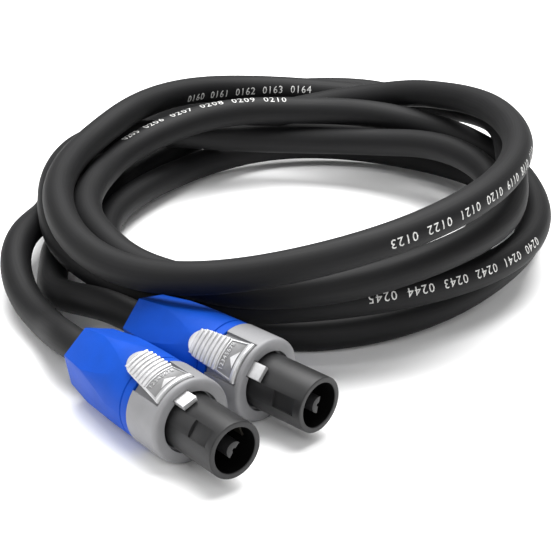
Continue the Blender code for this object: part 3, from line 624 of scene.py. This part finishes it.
def settled(route, leads, spans):
    """Moves the turns apart where they would touch, and keeps them near the way they are drawn."""
    points = route.copy()
    want = 2 * CABLE_R + SELF_GAP
    count = len(points)
    order = np.arange(count)
    spacing = np.linalg.norm(np.diff(points, axis=0), axis=1).mean()
    own = np.abs(order[:, None] - order[None]) * spacing < OWN_LENGTH
    others = np.concatenate(leads)
    firsts = np.arange(len(others)) < len(leads[0])
    start = (order < END_POINTS)[:, None] & firsts[None]
    finish = (order >= count - END_POINTS)[:, None] & ~firsts[None]
    for index in range(SETTLE_ROUNDS):
        moves = np.zeros_like(points)
        for bodies, skip, share in ((points, own, 0.5), (others, start | finish, 1.0)):
            apart = points[:, None] - bodies[None]
            far = np.linalg.norm(apart, axis=-1)
            far[skip] = 1.0
            nearest = far.argmin(axis=1)
            distance = far[order, nearest]
            push = np.clip(want - distance, 0, None) * share
            moves += apart[order, nearest] / distance[:, None] * push[:, None]
        for low, high, radius in spans:
            along = np.clip((points - low) @ (high - low) / ((high - low) @ (high - low)), 0, 1)
            apart = points - (low + along[:, None] * (high - low))
            distance = np.linalg.norm(apart, axis=1)
            push = np.clip(radius + CABLE_R + PLUG_GAP - distance, 0, None)
            moves += apart / distance[:, None] * push[:, None]
        points = points + SETTLE_PUSH * softened(moves, 4)
        if index < SETTLE_FREE * SETTLE_ROUNDS:
            points = points + softened(SETTLE_PULL * (route - points), 2)
        points[:, 2] = np.maximum(points[:, 2], CABLE_R)
    return points


def chain_run(chain):
    """How far along a chain of points each of them lies."""
    run = [0.0]
    for one, other in zip(chain, chain[1:]):
        run.append(run[-1] + (other - one).length)
    return run


def chain_read(chain, run, wanted):
    """The smooth curve through a chain of points at the wanted distances: its x, y and z rows."""
    return [natural_spline(run, [point[axis] for point in chain], wanted) for axis in range(3)]


def lead_points(place, hand_points, coil_end, spacing=4.0 * CABLE_R):
    """Straight out of the plug, along the given points and square onto the coil's end."""
    back = place @ Vector((JACKET_BACK - CLEARANCE, 0.0, 0.0))
    axis = place.to_3x3() @ Vector((-1.0, 0.0, 0.0))
    way = (coil_end[0] - coil_end[1]).normalized()
    arrive = coil_end[0] + way * CLEARANCE
    straight = 2.5 * CABLE_R
    fixed = [back, back + axis * straight] + [Vector(p) * MM for p in hand_points]
    fixed += [arrive + way * straight, arrive]
    run = chain_run(fixed)
    count = max(3, round((run[-2] - run[1]) / spacing))
    columns = chain_read(fixed, run, np.linspace(run[1], run[-2], count + 1))
    columns[2] = np.maximum(columns[2], CABLE_R)
    middle = [Vector(row) for row in zip(*columns)]
    return [back] + middle + [arrive]


def dense(chain, parts=6):
    """The chain's points and others evenly between them."""
    found = []
    for one, other in zip(chain, chain[1:]):
        found += [one.lerp(other, step / parts) for step in range(parts)]
    return found + [chain[-1]]


def cable_way(spacing):
    """Evenly spaced points along the whole cable, from inside one plug to inside the other."""
    places = {name: plug_place(name) for name in PLUGS}
    drawn = coil_route()
    route = [Vector(row) for row in drawn[::SETTLE_STEPS]]
    leads = [lead_points(places["plug2"], LEAD_2, route[:2]),
             lead_points(places["plug1"], LEAD_1, route[:-3:-1])]
    rows = [np.array([tuple(point) for point in dense(lead)]) for lead in leads]
    spans = plug_spans(places["plug1"]) + plug_spans(places["plug2"])
    coil = settled(drawn, rows, spans)
    ends = [Vector(row) for row in coil[::SETTLE_STEPS]]
    out = lead_points(places["plug2"], LEAD_2, ends[:2])
    home = lead_points(places["plug1"], LEAD_1, ends[:-3:-1])
    start = places["plug2"] @ Vector((JACKET_FRONT, 0.0, 0.0))
    end = places["plug1"] @ Vector((JACKET_FRONT, 0.0, 0.0))
    chain = [start, *out[:-1], *[Vector(row) for row in coil[1:-1]], *home[:-1][::-1], end]
    run = chain_run(chain)
    wanted = np.linspace(0.0, run[-1], round(run[-1] / spacing) + 1)
    return np.stack(chain_read(chain, run, wanted), axis=1)


def run_of(points):
    """How far along the cable each of its points lies."""
    return np.concatenate([[0.0], np.cumsum(np.linalg.norm(np.diff(points, axis=0), axis=1))])


def frames_along(points):
    """At each point: the outward side of the coil and up, square to the cable and of length 1."""
    ahead = np.gradient(points, axis=0)
    ahead /= np.linalg.norm(ahead, axis=1)[:, None]
    up = np.array([0.0, 0.0, 1.0]) - ahead * ahead[:, 2:]
    up /= np.linalg.norm(up, axis=1)[:, None]
    return np.cross(up, ahead), up


def cable_mesh(points, radius, sides):
    """The jacket as a tube, with a UV map in metres: along the cable and round it from the top."""
    aside, up = frames_along(points)
    angles = np.arange(sides) * 2 * math.pi / sides
    rings = (points[:, None] + radius * (np.cos(angles)[None, :, None] * up[:, None]
                                         + np.sin(angles)[None, :, None] * aside[:, None]))
    count = len(points)
    verts = [tuple(row) for row in rings.reshape(-1, 3)]
    faces = [tuple(range(sides)), tuple(range((count - 1) * sides, count * sides))[::-1]]
    for ring in range(count - 1):
        base = ring * sides
        for side in range(sides):
            after = (side + 1) % sides
            faces.append((base + side, base + sides + side, base + sides + after, base + after))
    mesh = bpy.data.meshes.new("cable")
    mesh.from_pydata(verts, [], faces)
    run = run_of(points)
    round_it = np.arange(sides + 1) * radius * 2 * math.pi / sides
    body = np.zeros((count - 1, sides, 4, 2))
    for corner, (along, across) in enumerate(((0, 0), (1, 0), (1, 1), (0, 1))):
        body[..., corner, 0] = run[along:count - 1 + along, None]
        body[..., corner, 1] = round_it[across:sides + across]
    spots = np.zeros((len(mesh.loops), 2))
    spots[2 * sides:] = body.reshape(-1, 2)
    flat = mesh.uv_layers.new(name="along")
    flat.data.foreach_set("uv", spots.reshape(-1))
    return mesh, run


class CABLE_OT_cord(bpy.types.Operator):
    """Draws the whole cable as one smooth cord"""

    bl_idname = "cable.cord"
    bl_label = "Cord"

    def execute(self, context):
        sizes = context.scene.cable_settings
        points = cable_way(sizes.ring_spacing)
        mesh, run = cable_mesh(points, sizes.diameter / 2, sizes.sides)
        cord = finish_piece(
            "cable", mesh, rubber_jacket("extruded_rubber_jacket", sizes.jacket), "cable",
            ("coil", "lead_1", "lead_2", "plug1_jacket_end", "plug2_jacket_end"), sharp=60)
        leaves = plug_place("plug2") @ Vector((-PLUG_LENGTH, 0.0, 0.0))
        return {"FINISHED"}


def sliced(shape, way, spacing):
    """Cuts a flat shape across this way into strips, so that it can be bent."""
    for step in range(-3, 4):
        bmesh.ops.bisect_plane(
            shape, geom=shape.verts[:] + shape.edges[:] + shape.faces[:],
            plane_co=step * spacing * Vector(way), plane_no=way, dist=SAME_POINT)


def text_mesh(body, height, thickness):
    """Flat figures of this height, lying in X and Y."""
    curve = bpy.data.curves.new("figures", "FONT")
    curve.body = body
    curve.size = height / FIGURE_SHARE
    curve.extrude = thickness / 2
    curve.resolution_u = 2
    curve.space_character = 1.15
    curve.align_x = "CENTER"
    curve.align_y = "CENTER"
    shape = bmesh.new()
    shape.from_mesh(baked(placed("figures", curve)))
    bmesh.ops.remove_doubles(shape, verts=shape.verts, dist=SAME_POINT)
    sliced(shape, (0.0, 1.0, 0.0), height / 6)
    bmesh.ops.triangulate(shape, faces=shape.faces)
    return mesh_from("figures", shape)


# The length figures: the first number, how many, then places as metres along the cable and
# degrees round from the top towards the outside of the coil.
MARKS = (
    (117, 7, ((0.4465, 74), (0.50, 74), (0.555, 80))),
    (240, 6, ((1.624, 61), (1.722, 64))),
    (160, 5, ((0.822, -112), (0.854, -98), (0.879, -76), (0.906, -58))),
    (205, 6, ((1.352, 14), (1.41, -2), (1.445, -18), (1.472, -24))),
)


class CABLE_OT_marks(bpy.types.Operator):
    """Prints plain length figures along the jacket"""

    bl_idname = "cable.marks"
    bl_label = "Length marks"

    def execute(self, context):
        sizes = context.scene.cable_settings
        points = cable_way(sizes.ring_spacing)
        run = run_of(points)
        aside, up = frames_along(points)
        ink = printed_ink("white_marking_ink", sizes.print_colour)
        raise_by = sizes.diameter / 2 + 0.03 * MM
        for index, (first, count, places) in enumerate(MARKS):
            figures = "  ".join("%04d" % (first + step) for step in range(count))
            mesh = text_mesh(figures, sizes.print_height, 0.04 * MM)
            flat = np.zeros(len(mesh.vertices) * 3)
            mesh.vertices.foreach_get("co", flat)
            flat = flat.reshape(-1, 3)
            distances, degrees = zip(*places)
            along = (distances[0] + distances[-1]) / 2 + flat[:, 0]
            turn = np.radians(np.interp(along, distances, degrees))
            turn += flat[:, 1] / (sizes.diameter / 2)
            out = (raise_by + flat[:, 2])[:, None]
            spot, side, top = (
                np.stack([np.interp(along, run, rows[:, axis]) for axis in range(3)], axis=1)
                for rows in (points, aside, up))
            bent = spot + out * (np.cos(turn)[:, None] * top + np.sin(turn)[:, None] * side)
            mesh.vertices.foreach_set("co", bent.reshape(-1))
            finish_piece("length_mark_%d" % (index + 1), mesh, ink, "cable")
        return {"FINISHED"}


# ---- the plugs ----
class CABLE_OT_housings(bpy.types.Operator):
    """Builds the grey front shells with their latch seats"""

    bl_idname = "cable.housings"
    bl_label = "Grey housings"

    def execute(self, context):
        sizes = context.scene.plug_settings
        material = moulded_plastic("grey_glass_filled_polyamide", sizes.housing, 0.5)
        outline = [
            (RING_FACE, RING_HOLE_R, 0.2 * MM),
            (RING_FACE, HOUSING_R, 1.7 * MM),
            (GREY_END, HOUSING_R, 0.15 * MM),
            (GREY_END, THREAD_R),
            (TAIL_END, THREAD_R, 0.3 * MM),
            (TAIL_END, INNER_R),
            (STEP_BACK, INNER_R),
            (STEP_BACK, RING_HOLE_R),
        ]
        angle = math.asin((LATCH_WIDTH / 2 + LATCH_ROOM) / HOUSING_R)
        wide = TONGUE_WIDTH / 2 + CLEARANCE
        narrow = SPRING_OUTER_R + CLEARANCE
        slim = WEB_HALF + CLEARANCE
        low = INNER_R - PAST
        for name in PLUGS:
            seat = []
            for x in (LATCH_FRONT + LATCH_ROOM, GREY_END - PAST):
                top = arc_ring(x, HOUSING_R + PAST, angle)
                seat.append(top + arc_ring(x, LATCH_SEAT, angle)[::-1])
            notch = block("notch", (BAR_END - LATCH_TRAVEL - CLEARANCE, -wide, low),
                          (RING_FACE + PAST, wide, TONGUE_TOP + CLEARANCE))
            room = block("room", (SPRING_ROOM_END, -narrow, low),
                         (BAR_END, narrow, SPRING_AXIS + narrow))
            slot = block("slot", (WEB_BACK - LATCH_TRAVEL - CLEARANCE, -slim, TONGUE_TOP),
                         (WEB_FRONT + CLEARANCE, slim, HOUSING_R + PAST))
            cuts = [("DIFFERENCE", mesh) for mesh in (lofted("seat", seat), notch, room, slot)]
            mesh = carved(turned(name + "_shell", outline, sizes.steps), cuts, sizes.edge)
            finish_piece(name + "_shell", mesh, material, "cable",
                         (name + "_housing",), plug_place(name))
        return {"FINISHED"}


def c_shape(outer, inner, middle, half_open, steps=ARC_STEPS):
    """A ring's outline as (y, z) points with an opening between round ends."""
    found = []
    start = math.radians(middle + half_open)
    sweep = math.radians(360 - 2 * half_open)
    for radius, order in ((outer, range(steps + 1)), (inner, range(steps, -1, -1))):
        for step in order:
            turn = start + sweep * step / steps
            found.append((radius * math.cos(turn), radius * math.sin(turn)))
    return found


class CABLE_OT_inserts(bpy.types.Operator):
    """Builds the dark barrels with their bores, posts and lock pockets"""

    bl_idname = "cable.inserts"
    bl_label = "Dark inserts"

    def execute(self, context):
        sizes = context.scene.plug_settings
        material = moulded_plastic("black_glass_filled_polyamide", sizes.insert, 0.48, 0.3, 1.42)
        # Painted shade: the bore's walls and floor get a near-black, hardly reflecting copy of the
        # insert's plastic in place of the shade deep in the bore.
        painted_bore_shade = moulded_plastic("painted_shade_black_in_the_bore", sizes.bore, 0.7, 0.3, 1.15)
        outline = [
            (0.0, BARREL_R, 0.45 * MM),
            (INSERT_END, BARREL_R),
            (INSERT_END, 0.0),
            (-BORE_DEPTH, 0.0),
            (-BORE_DEPTH, BORE_R),
            (0.0, BORE_R, 0.35 * MM),
        ]
        overlap = 0.5 * MM
        for name in PLUGS:
            ends = [[(x, y, z) for y, z in c_shape(POST_R, POST_R - POST_WALL, POST_TURN,
                                                   POST_HALF_OPEN)]
                    for x in (-BORE_DEPTH - 0.8 * MM, -POST_BACK)]
            changes = [("UNION", lofted("post", ends))]
            for side in (-1, 1):
                pocket = side_block("pocket", side, POCKET_BACK, POCKET_FRONT,
                                    (BARREL_R - POCKET_DEPTH, BARREL_R + PAST), POCKET_HALF)
                pocket.transform(Matrix.Rotation(POCKET_TURN, 4, "X"))
                chamber = side_block("chamber", side, INSERT_END - PAST, CHAMBER_FRONT,
                                     (CHAMBER_NEAR, CHAMBER_FAR), CHAMBER_HALF)
                slot = side_block("slot", side, CHAMBER_FRONT - overlap, overlap - BORE_DEPTH,
                                  (SLOT_NEAR, SLOT_FAR), SLOT_HALF)
                changes += [("DIFFERENCE", cut) for cut in (pocket, chamber, slot)]
            mesh = carved(turned(name + "_barrel", outline, sizes.steps), changes, 0.6 * sizes.edge)
            # The faces of the bore's walls and floor, which carry the painted shade.
            inside = [POST_R + 0.1 * MM < math.hypot(*face.center[1:]) < BORE_R + 0.1 * MM
                      and face.center.x < -POST_BACK for face in mesh.polygons]
            piece = finish_piece(name + "_barrel", mesh, material, "cable",
                                 (name + "_insert",), plug_place(name))
            piece.data.materials.append(painted_bore_shade)
            piece.data.polygons.foreach_set("material_index", inside)
        return {"FINISHED"}


class CABLE_OT_bushings(bpy.types.Operator):
    """Builds the blue clamp nuts"""

    bl_idname = "cable.bushings"
    bl_label = "Blue bushings"

    def execute(self, context):
        sizes = context.scene.plug_settings
        material = moulded_plastic("blue_polyamide", sizes.bushing, 0.6, 0.4, 1.25)
        end = -PLUG_LENGTH
        outline = [
            (GREY_END - CLEARANCE, THREAD_ROOM_R),
            (GREY_END - CLEARANCE, BUSHING_R, 0.3 * MM),
            (GROOVE_AT + 0.2 * MM, BUSHING_R, 0.12 * MM),
            (GROOVE_AT, GROOVE_R),
            (GROOVE_AT - 0.35 * MM, GROOVE_R),
            (GROOVE_AT - 0.55 * MM, BUSHING_R, 0.12 * MM),
            (end + 28.0 * MM, BUSHING_R - 0.1 * MM, 12 * MM),
            (end + 9.0 * MM, BUSHING_R - 0.9 * MM, 8 * MM),
            (end, BUSHING_END_R),
            (end, NUT_HOLE_R, 0.2 * MM),
            (CHUCK_ROOM_END, NUT_HOLE_R),
            (CHUCK_ROOM_END, CABLE_R + 2.3 * MM),
            (CHUCK_END + 5.8 * MM, INNER_R),
            (THREAD_ROOM_END, INNER_R),
            (THREAD_ROOM_END, THREAD_ROOM_R),
        ]
        for name in PLUGS:
            flats = []
            for x in (end - CLEARANCE, end - CLEARANCE + PLUG_LENGTH):
                reach = (FLATS_HALF + FLATS_SLOPE * (x - end)) / math.cos(math.pi / 6)
                ring = []
                for step in range(6):
                    turn = math.radians(NUT_CORNERS[name] + 60 * step)
                    ring.append((x, reach * math.sin(turn), reach * math.cos(turn)))
                flats.append(ring)
            base = turned(name + "_nut", outline, sizes.steps)
            mesh = carved(base, [("INTERSECT", lofted("flats", flats))], 1.2 * sizes.edge,
                          FLATS_SHARP)
            finish_piece(name + "_nut", mesh, material, name + "_nut",
                         (name + "_bushing",), plug_place(name), 30)
        return {"FINISHED"}


def latch_half(x):
    """Half the latch's width at this place: nearly straight sides and a round rear end."""
    along = min(1.0, (LATCH_FRONT - x) / LATCH_LENGTH)
    nose = max(0.0, (along - NOSE_START) / (1 - NOSE_START))
    return LATCH_WIDTH / 2 * (1 - LATCH_NARROWS * along) * math.sqrt(max(0.0, 1 - nose**2))


def latch_rise(x):
    """How far the latch has risen at this place."""
    return LATCH_RISE * max(0.0, (RIBS_FRONT - x) / (RIBS_FRONT - LATCH_END))


def rib_tree():
    """Geometry nodes that lay ribs across a cylinder about X, as wide as the latch is there."""
    tree = bpy.data.node_groups.new("latch_ribs", "GeometryNodeTree")
    face = tree.interface
    face.new_socket("Geometry", in_out="OUTPUT", socket_type="NodeSocketGeometry")
    kinds = {"Count": "Int", "Start": "Float", "Pitch": "Float", "Radius": "Float",
             "Rise": "Float", "Margin": "Float", "Rib width": "Float", "Rib height": "Float",
             "Material": "Material"}
    named = {name: face.new_socket(name, in_out="INPUT", socket_type="NodeSocket" + kind).identifier
             for name, kind in kinds.items()}
    given = add(tree, "NodeGroupInput").outputs

    def made(kind, values=None, links=None, **settings):
        """The first output of a new node."""
        return add(tree, kind, values, links, **settings).outputs[0]

    def sum_of(kind, *sides):
        """A Math node; each side is a number or a socket."""
        node = add(tree, "ShaderNodeMath", operation=kind)
        for place, side in zip(node.inputs, sides):
            if isinstance(side, float):
                place.default_value = side
            else:
                tree.links.new(side, place)
        return node.outputs[0]

    offset = made("ShaderNodeCombineXYZ", links={"X": sum_of("MULTIPLY", given["Pitch"], -1.0)})
    first = made("ShaderNodeCombineXYZ", links={"X": given["Start"]})
    line = made("GeometryNodeMeshLine", mode="OFFSET",
                links={"Count": given["Count"], "Start Location": first, "Offset": offset})
    spine = made("GeometryNodeCurvePrimitiveLine", {"Start": (0, -1, 0), "End": (0, 1, 0)})
    fine = made("GeometryNodeResampleCurve", {"Count": 41}, {"Curve": spine})
    on = made("GeometryNodeInstanceOnPoints", links={"Points": line, "Instance": fine})
    loose = made("GeometryNodeRealizeInstances", links={0: on})
    spot = add(tree, "ShaderNodeSeparateXYZ", links={0: made("GeometryNodeInputPosition")})
    along, side = spot.outputs["X"], spot.outputs["Y"]
    ends = sum_of("POWER", sum_of("ABSOLUTE", side), 8.0)
    thick = sum_of("SQRT", sum_of("SUBTRACT", 1.0, ends))
    slimmed = made("GeometryNodeSetCurveRadius", links={"Curve": loose, "Radius": thick})
    back = sum_of("SUBTRACT", LATCH_FRONT, along)
    share = add(tree, "ShaderNodeFloatCurve", links={"Value": sum_of("DIVIDE", back, LATCH_LENGTH)})
    curve = share.mapping.curves[0]
    steps = 20
    for step in range(1, steps):
        part = step / steps
        curve.points.new(part, latch_half(LATCH_FRONT - part * LATCH_LENGTH) / LATCH_WIDTH)
    curve.points[0].location = (0.0, 0.5)
    curve.points[steps].location = (1.0, 0.0)
    share.mapping.update()
    wide = sum_of("MULTIPLY", share.outputs[0], LATCH_WIDTH)
    half = sum_of("SUBTRACT", wide, given["Margin"])
    turn = sum_of("MULTIPLY", sum_of("DIVIDE", half, given["Radius"]), side)
    behind = sum_of("DIVIDE", sum_of("SUBTRACT", RIBS_FRONT, along), RIBS_FRONT - LATCH_END)
    radius = sum_of("ADD", given["Radius"], sum_of("MULTIPLY", behind, given["Rise"]))
    bent = made("ShaderNodeCombineXYZ",
                links={"X": along, "Y": sum_of("MULTIPLY", sum_of("SINE", turn), radius),
                       "Z": sum_of("MULTIPLY", sum_of("COSINE", turn), radius)})
    laid = made("GeometryNodeSetPosition", links={"Geometry": slimmed, "Position": bent})
    ring = made("GeometryNodeCurvePrimitiveCircle", {"Resolution": 16, "Radius": 1.0})
    size = made("ShaderNodeCombineXYZ", {"Z": 1.0},
                {"X": given["Rib width"], "Y": given["Rib height"]})
    oval = made("GeometryNodeTransform", links={"Geometry": ring, "Scale": size})
    swept = made("GeometryNodeCurveToMesh", {"Fill Caps": True},
                 {"Curve": laid, "Profile Curve": oval})
    real = made("GeometryNodeRealizeInstances", links={0: swept})
    coated = made("GeometryNodeSetMaterial",
                  links={"Geometry": real, "Material": given["Material"]})
    add(tree, "NodeGroupOutput", links={0: coated})
    return tree, named


def rib_mesh(tree, named, values):
    """The ribs that the node group makes with these named values."""
    holder = placed("ribs", bpy.data.meshes.new("ribs"))
    step = holder.modifiers.new("ribs", "NODES")
    step.node_group = tree
    for name, value in values.items():
        step[named[name]] = value
    mesh = baked(holder)
    tidy_mesh(mesh)
    return mesh


def wrapped(mesh, x, radius):
    """Bends a flat mesh round the latch: its X runs across, its Y to the rear, its Z outwards."""
    for vertex in mesh.vertices:
        across, back, out = vertex.co
        turn = across / radius
        vertex.co = (x - back, (radius + out) * math.sin(turn), (radius + out) * math.cos(turn))


def wedge_mesh(width, height, thickness):
    """A plain raised triangle, lying in X and Y."""
    shape = bmesh.new()
    corners = [(-width / 2, 0.0), (width / 2, 0.0), (0.0, height)]
    base = [shape.verts.new((x, y, -thickness / 2)) for x, y in corners]
    top = [shape.verts.new((x, y, thickness / 2)) for x, y in corners]
    shape.faces.new(top)
    shape.faces.new(base[::-1])
    for step in range(3):
        after = (step + 1) % 3
        shape.faces.new((base[step], base[after], top[after], top[step]))
    sliced(shape, (1.0, 0.0, 0.0), width / 8)
    return mesh_from("wedge", shape)


def latch_plate(name):
    """The latch's curved plate: a bar in front, a flat for the panel and a domed, round rear."""
    heights = [(LATCH_FRONT - back * MM, lift) for back, lift in LATCH_PROFILE]
    heights += [(RIBS_FRONT + 0.3 * MM, 0.74), (RIBS_FRONT, 0.78), (LATCH_STEP + 0.05 * MM, 0.8),
                (LATCH_STEP - 0.05 * MM, 0.82)]
    rear_steps = 14
    for step in range(1, rear_steps + 1):
        part = math.sin(step / rear_steps * math.pi / 2)
        x = LATCH_STEP + (LATCH_END - LATCH_STEP) * part
        fall = max(0.0, (LATCH_END + LATCH_DOME - x) / LATCH_DOME)
        heights.append((x, DOME_TOP - DOME_FALL * fall**2))
    sections = []
    for x, lift in heights:
        low = LATCH_LOW if x > LATCH_STEP else LATCH_HIGH
        high = HOUSING_R + lift * MM + latch_rise(x)
        half = max(latch_half(x), 0.3 * MM)
        angle = math.asin(half / (HOUSING_R + 0.6 * MM))
        top = []
        for _, y, z in arc_ring(x, 1.0, angle, LATCH_STEPS):
            edge = max(0.0, (abs(math.asin(y)) / angle - RIM_START) / RIM_WIDTH)
            radius = high - RIM_DROP * edge**2
            top.append((x, radius * y, radius * z))
        sections.append(top + arc_ring(x, low, angle, LATCH_STEPS)[::-1])
    return lofted(name, sections)


class CABLE_OT_latches(bpy.types.Operator):
    """Builds the ribbed metal latches with their tongues"""

    bl_idname = "cable.latches"
    bl_label = "Metal latches"

    def execute(self, context):
        sizes = context.scene.plug_settings
        material = satin_casting("satin_nickel_zinc_casting", sizes.latch)
        ground = satin_casting("shot_blasted_zinc_casting", sizes.panel, 0.55)
        tree, named = rib_tree()
        panel_front = LATCH_FRONT - 1.75 * MM
        panel_back = RIBS_FRONT + 0.45 * MM
        floor = HOUSING_R + 0.42 * MM
        relief = 0.5 * MM
        for name in PLUGS:
            web = block("web", (WEB_BACK, -WEB_HALF, TONGUE_TOP - 0.6 * MM),
                        (WEB_FRONT, WEB_HALF, LATCH_LOW + 0.6 * MM))
            bar = block("bar", (BAR_END, -TONGUE_WIDTH / 2, INNER_R),
                        (RING_FACE + 4.7 * MM, TONGUE_WIDTH / 2, TONGUE_TOP))
            sunk = []
            for x in (panel_front, panel_back):
                angle = (latch_half(x) - 0.75 * MM) / HOUSING_R
                sunk.append(arc_ring(x, HOUSING_R + 2 * MM, angle)
                            + arc_ring(x, floor, angle)[::-1])
            recess = lofted("recess", sunk)
            mesh = carved(latch_plate(name + "_slide"),
                          [("UNION", web), ("UNION", bar), ("DIFFERENCE", recess)], 0.08 * MM)
            sunken = [panel_back < face.center.x < panel_front
                      and -0.1 * MM < math.hypot(*face.center[1:]) - floor < 0.02 * MM
                      for face in mesh.polygons]
            place = plug_place(name)
            body = name + "_slider"
            piece = finish_piece(name + "_slide", mesh, material, body,
                                 (name + "_latch",), place, 35)
            piece.data.materials.append(ground)
            piece.data.polygons.foreach_set("material_index", sunken)
            ribs = rib_mesh(tree, named, {
                "Count": sizes.rib_count, "Start": RIBS_FRONT - 0.75 * MM,
                "Pitch": sizes.rib_pitch, "Radius": HOUSING_R + 0.82 * MM,
                "Rise": LATCH_RISE, "Margin": 0.12 * MM, "Rib width": 0.72 * MM,
                "Rib height": 0.5 * MM, "Material": material})
            finish_piece(name + "_ribs", ribs, material, body, (), place, 60)
            figures = text_mesh("12345678", 1.5 * MM, relief)
            wrapped(figures, panel_back + 1.3 * MM, floor)
            finish_piece(name + "_figures", figures, material, body, (), place)
            wedge = wedge_mesh(6.0 * MM, 2.3 * MM, relief)
            wrapped(wedge, panel_front - 0.5 * MM, floor)
            finish_piece(name + "_wedge", wedge, material, body, (), place)
        return {"FINISHED"}


class CABLE_OT_inner(bpy.types.Operator):
    """Gives the pieces inside the plugs their metals and plastics"""

    bl_idname = "cable.inner"
    bl_label = "Inner pieces"

    def execute(self, context):
        # Painted shade: the contacts' plating is darkened and roughened to stand in for the shade
        # in the bore and to show no glint there.
        plating = plain_metal("silver_plated_brass_painted_dark_in_shade", "#3b3934", 0.6)
        steel = plain_metal("zinc_plated_steel", "#a9abad", 0.35)
        nylon = moulded_plastic("black_nylon", "#1d1d1e", 0.5)
        red = moulded_plastic("red_wire_insulation", "#a01818", 0.45)
        black = moulded_plastic("black_wire_insulation", "#202021", 0.45)
        finishes = {"contact_neg": plating, "contact_pos": plating, "screw_neg": steel,
                    "screw_pos": steel, "latch_spring": steel, "chuck": nylon,
                    "core_pos": red, "core_neg": black}
        for name in PLUGS:
            for piece, material in finishes.items():
                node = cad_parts[name + "_" + piece]
                node.data.materials.clear()
                node.data.materials.append(material)
            place = plug_place(name)
            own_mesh(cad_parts[name + "_latch_spring"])
        return {"FINISHED"}


# ---- the stage ----
CAMERA_AT = (0.3955, -0.2810, 0.2741)
CAMERA_LOOKS_AT = (-0.070006, 0.087924, 0.0)
LAMPS_LOOK_AT = (-0.09, 0.11, 0.02)
FLOOR_HALF = 3.0


def aimed(obj, spot, target):
    """Puts a camera or a lamp here and turns it to its target."""
    obj.location = spot
    way = Vector(target) - obj.location
    obj.rotation_euler = way.to_track_quat("-Z", "Y").to_euler()


class CABLE_OT_camera(bpy.types.Operator):
    """Sets the camera at the photograph's angle"""

    bl_idname = "cable.camera"
    bl_label = "Camera"

    def execute(self, context):
        lens = bpy.data.cameras.new("camera")
        lens.sensor_width = 36.0
        lens.lens = context.scene.stage_settings.lens
        lens.clip_start = 0.01
        lens.clip_end = 20.0
        camera = placed("camera", lens)
        aimed(camera, CAMERA_AT, CAMERA_LOOKS_AT)
        context.scene.camera = camera
        return {"FINISHED"}


class CABLE_OT_stage(bpy.types.Operator):
    """Lays the floor and hangs the studio lights"""

    bl_idname = "cable.stage"
    bl_label = "Stage"

    def execute(self, context):
        sizes = context.scene.stage_settings
        material, tree, shader = new_material("matt_white_board", 0.9)
        place = add(tree, "ShaderNodeTexCoord").outputs["Object"]
        mottled(tree, shader, place, sizes.floor, 0.995, 1 / 3)
        shape = bmesh.new()
        bmesh.ops.create_grid(shape, x_segments=2, y_segments=2, size=FLOOR_HALF)
        floor = placed("floor", mesh_from("floor", shape))
        floor.data.materials.append(material)
        for name, spot, size, watts in (
            ("key", (-0.35, 0.45, 1.45), 1.5, sizes.key_power),
            ("fill", (1.1, -0.5, 0.9), 1.0, sizes.fill_power),
            ("left", (-0.6, -0.9, 0.8), 0.9, 0.6 * sizes.fill_power),
        ):
            light = bpy.data.lights.new(name, "AREA")
            light.size = size
            light.energy = watts
            aimed(placed(name, light), spot, LAMPS_LOOK_AT)
        world = bpy.data.worlds.new("studio")
        world.use_nodes = True
        ground = world.node_tree.nodes["Background"]
        ground.inputs["Color"].default_value = (1.0, 1.0, 1.0, 1.0)
        ground.inputs["Strength"].default_value = sizes.surround
        context.scene.world = world
        context.scene.view_settings.view_transform = "Standard"
        return {"FINISHED"}


class CABLE_PT_panel(bpy.types.Panel):
    """Lists the steps that build the cable"""

    bl_label = "Speaker cable"
    bl_idname = "CABLE_PT_panel"
    bl_space_type = "VIEW_3D"
    bl_region_type = "UI"
    bl_category = "Cable"

    def draw(self, context):
        for group in ("cable_settings", "plug_settings", "stage_settings"):
            settings = getattr(context.scene, group)
            box = self.layout.box()
            for name in settings.__annotations__:
                box.prop(settings, name)
        for step in STEPS:
            self.layout.operator(step.bl_idname)


GROUPS = (("cable_settings", CableSettings), ("plug_settings", PlugSettings),
          ("stage_settings", StageSettings))
STEPS = (CABLE_OT_camera, CABLE_OT_cord, CABLE_OT_marks, CABLE_OT_housings, CABLE_OT_inserts,
         CABLE_OT_bushings, CABLE_OT_latches, CABLE_OT_inner, CABLE_OT_stage)


def register():
    for name, group in GROUPS:
        bpy.utils.register_class(group)
        setattr(bpy.types.Scene, name, bpy.props.PointerProperty(type=group))
    for step in STEPS:
        bpy.utils.register_class(step)
    bpy.utils.register_class(CABLE_PT_panel)


def unregister():
    bpy.utils.unregister_class(CABLE_PT_panel)
    for step in reversed(STEPS):
        bpy.utils.unregister_class(step)
    for name, group in reversed(GROUPS):
        delattr(bpy.types.Scene, name)
        bpy.utils.unregister_class(group)


def main():
    register()
    bpy.ops.cable.camera()
    bpy.ops.cable.cord()
    bpy.ops.cable.marks()
    bpy.ops.cable.housings()
    bpy.ops.cable.inserts()
    bpy.ops.cable.bushings()
    bpy.ops.cable.latches()
    bpy.ops.cable.inner()
    bpy.ops.cable.stage()


if __name__ == "__main__":
    main()
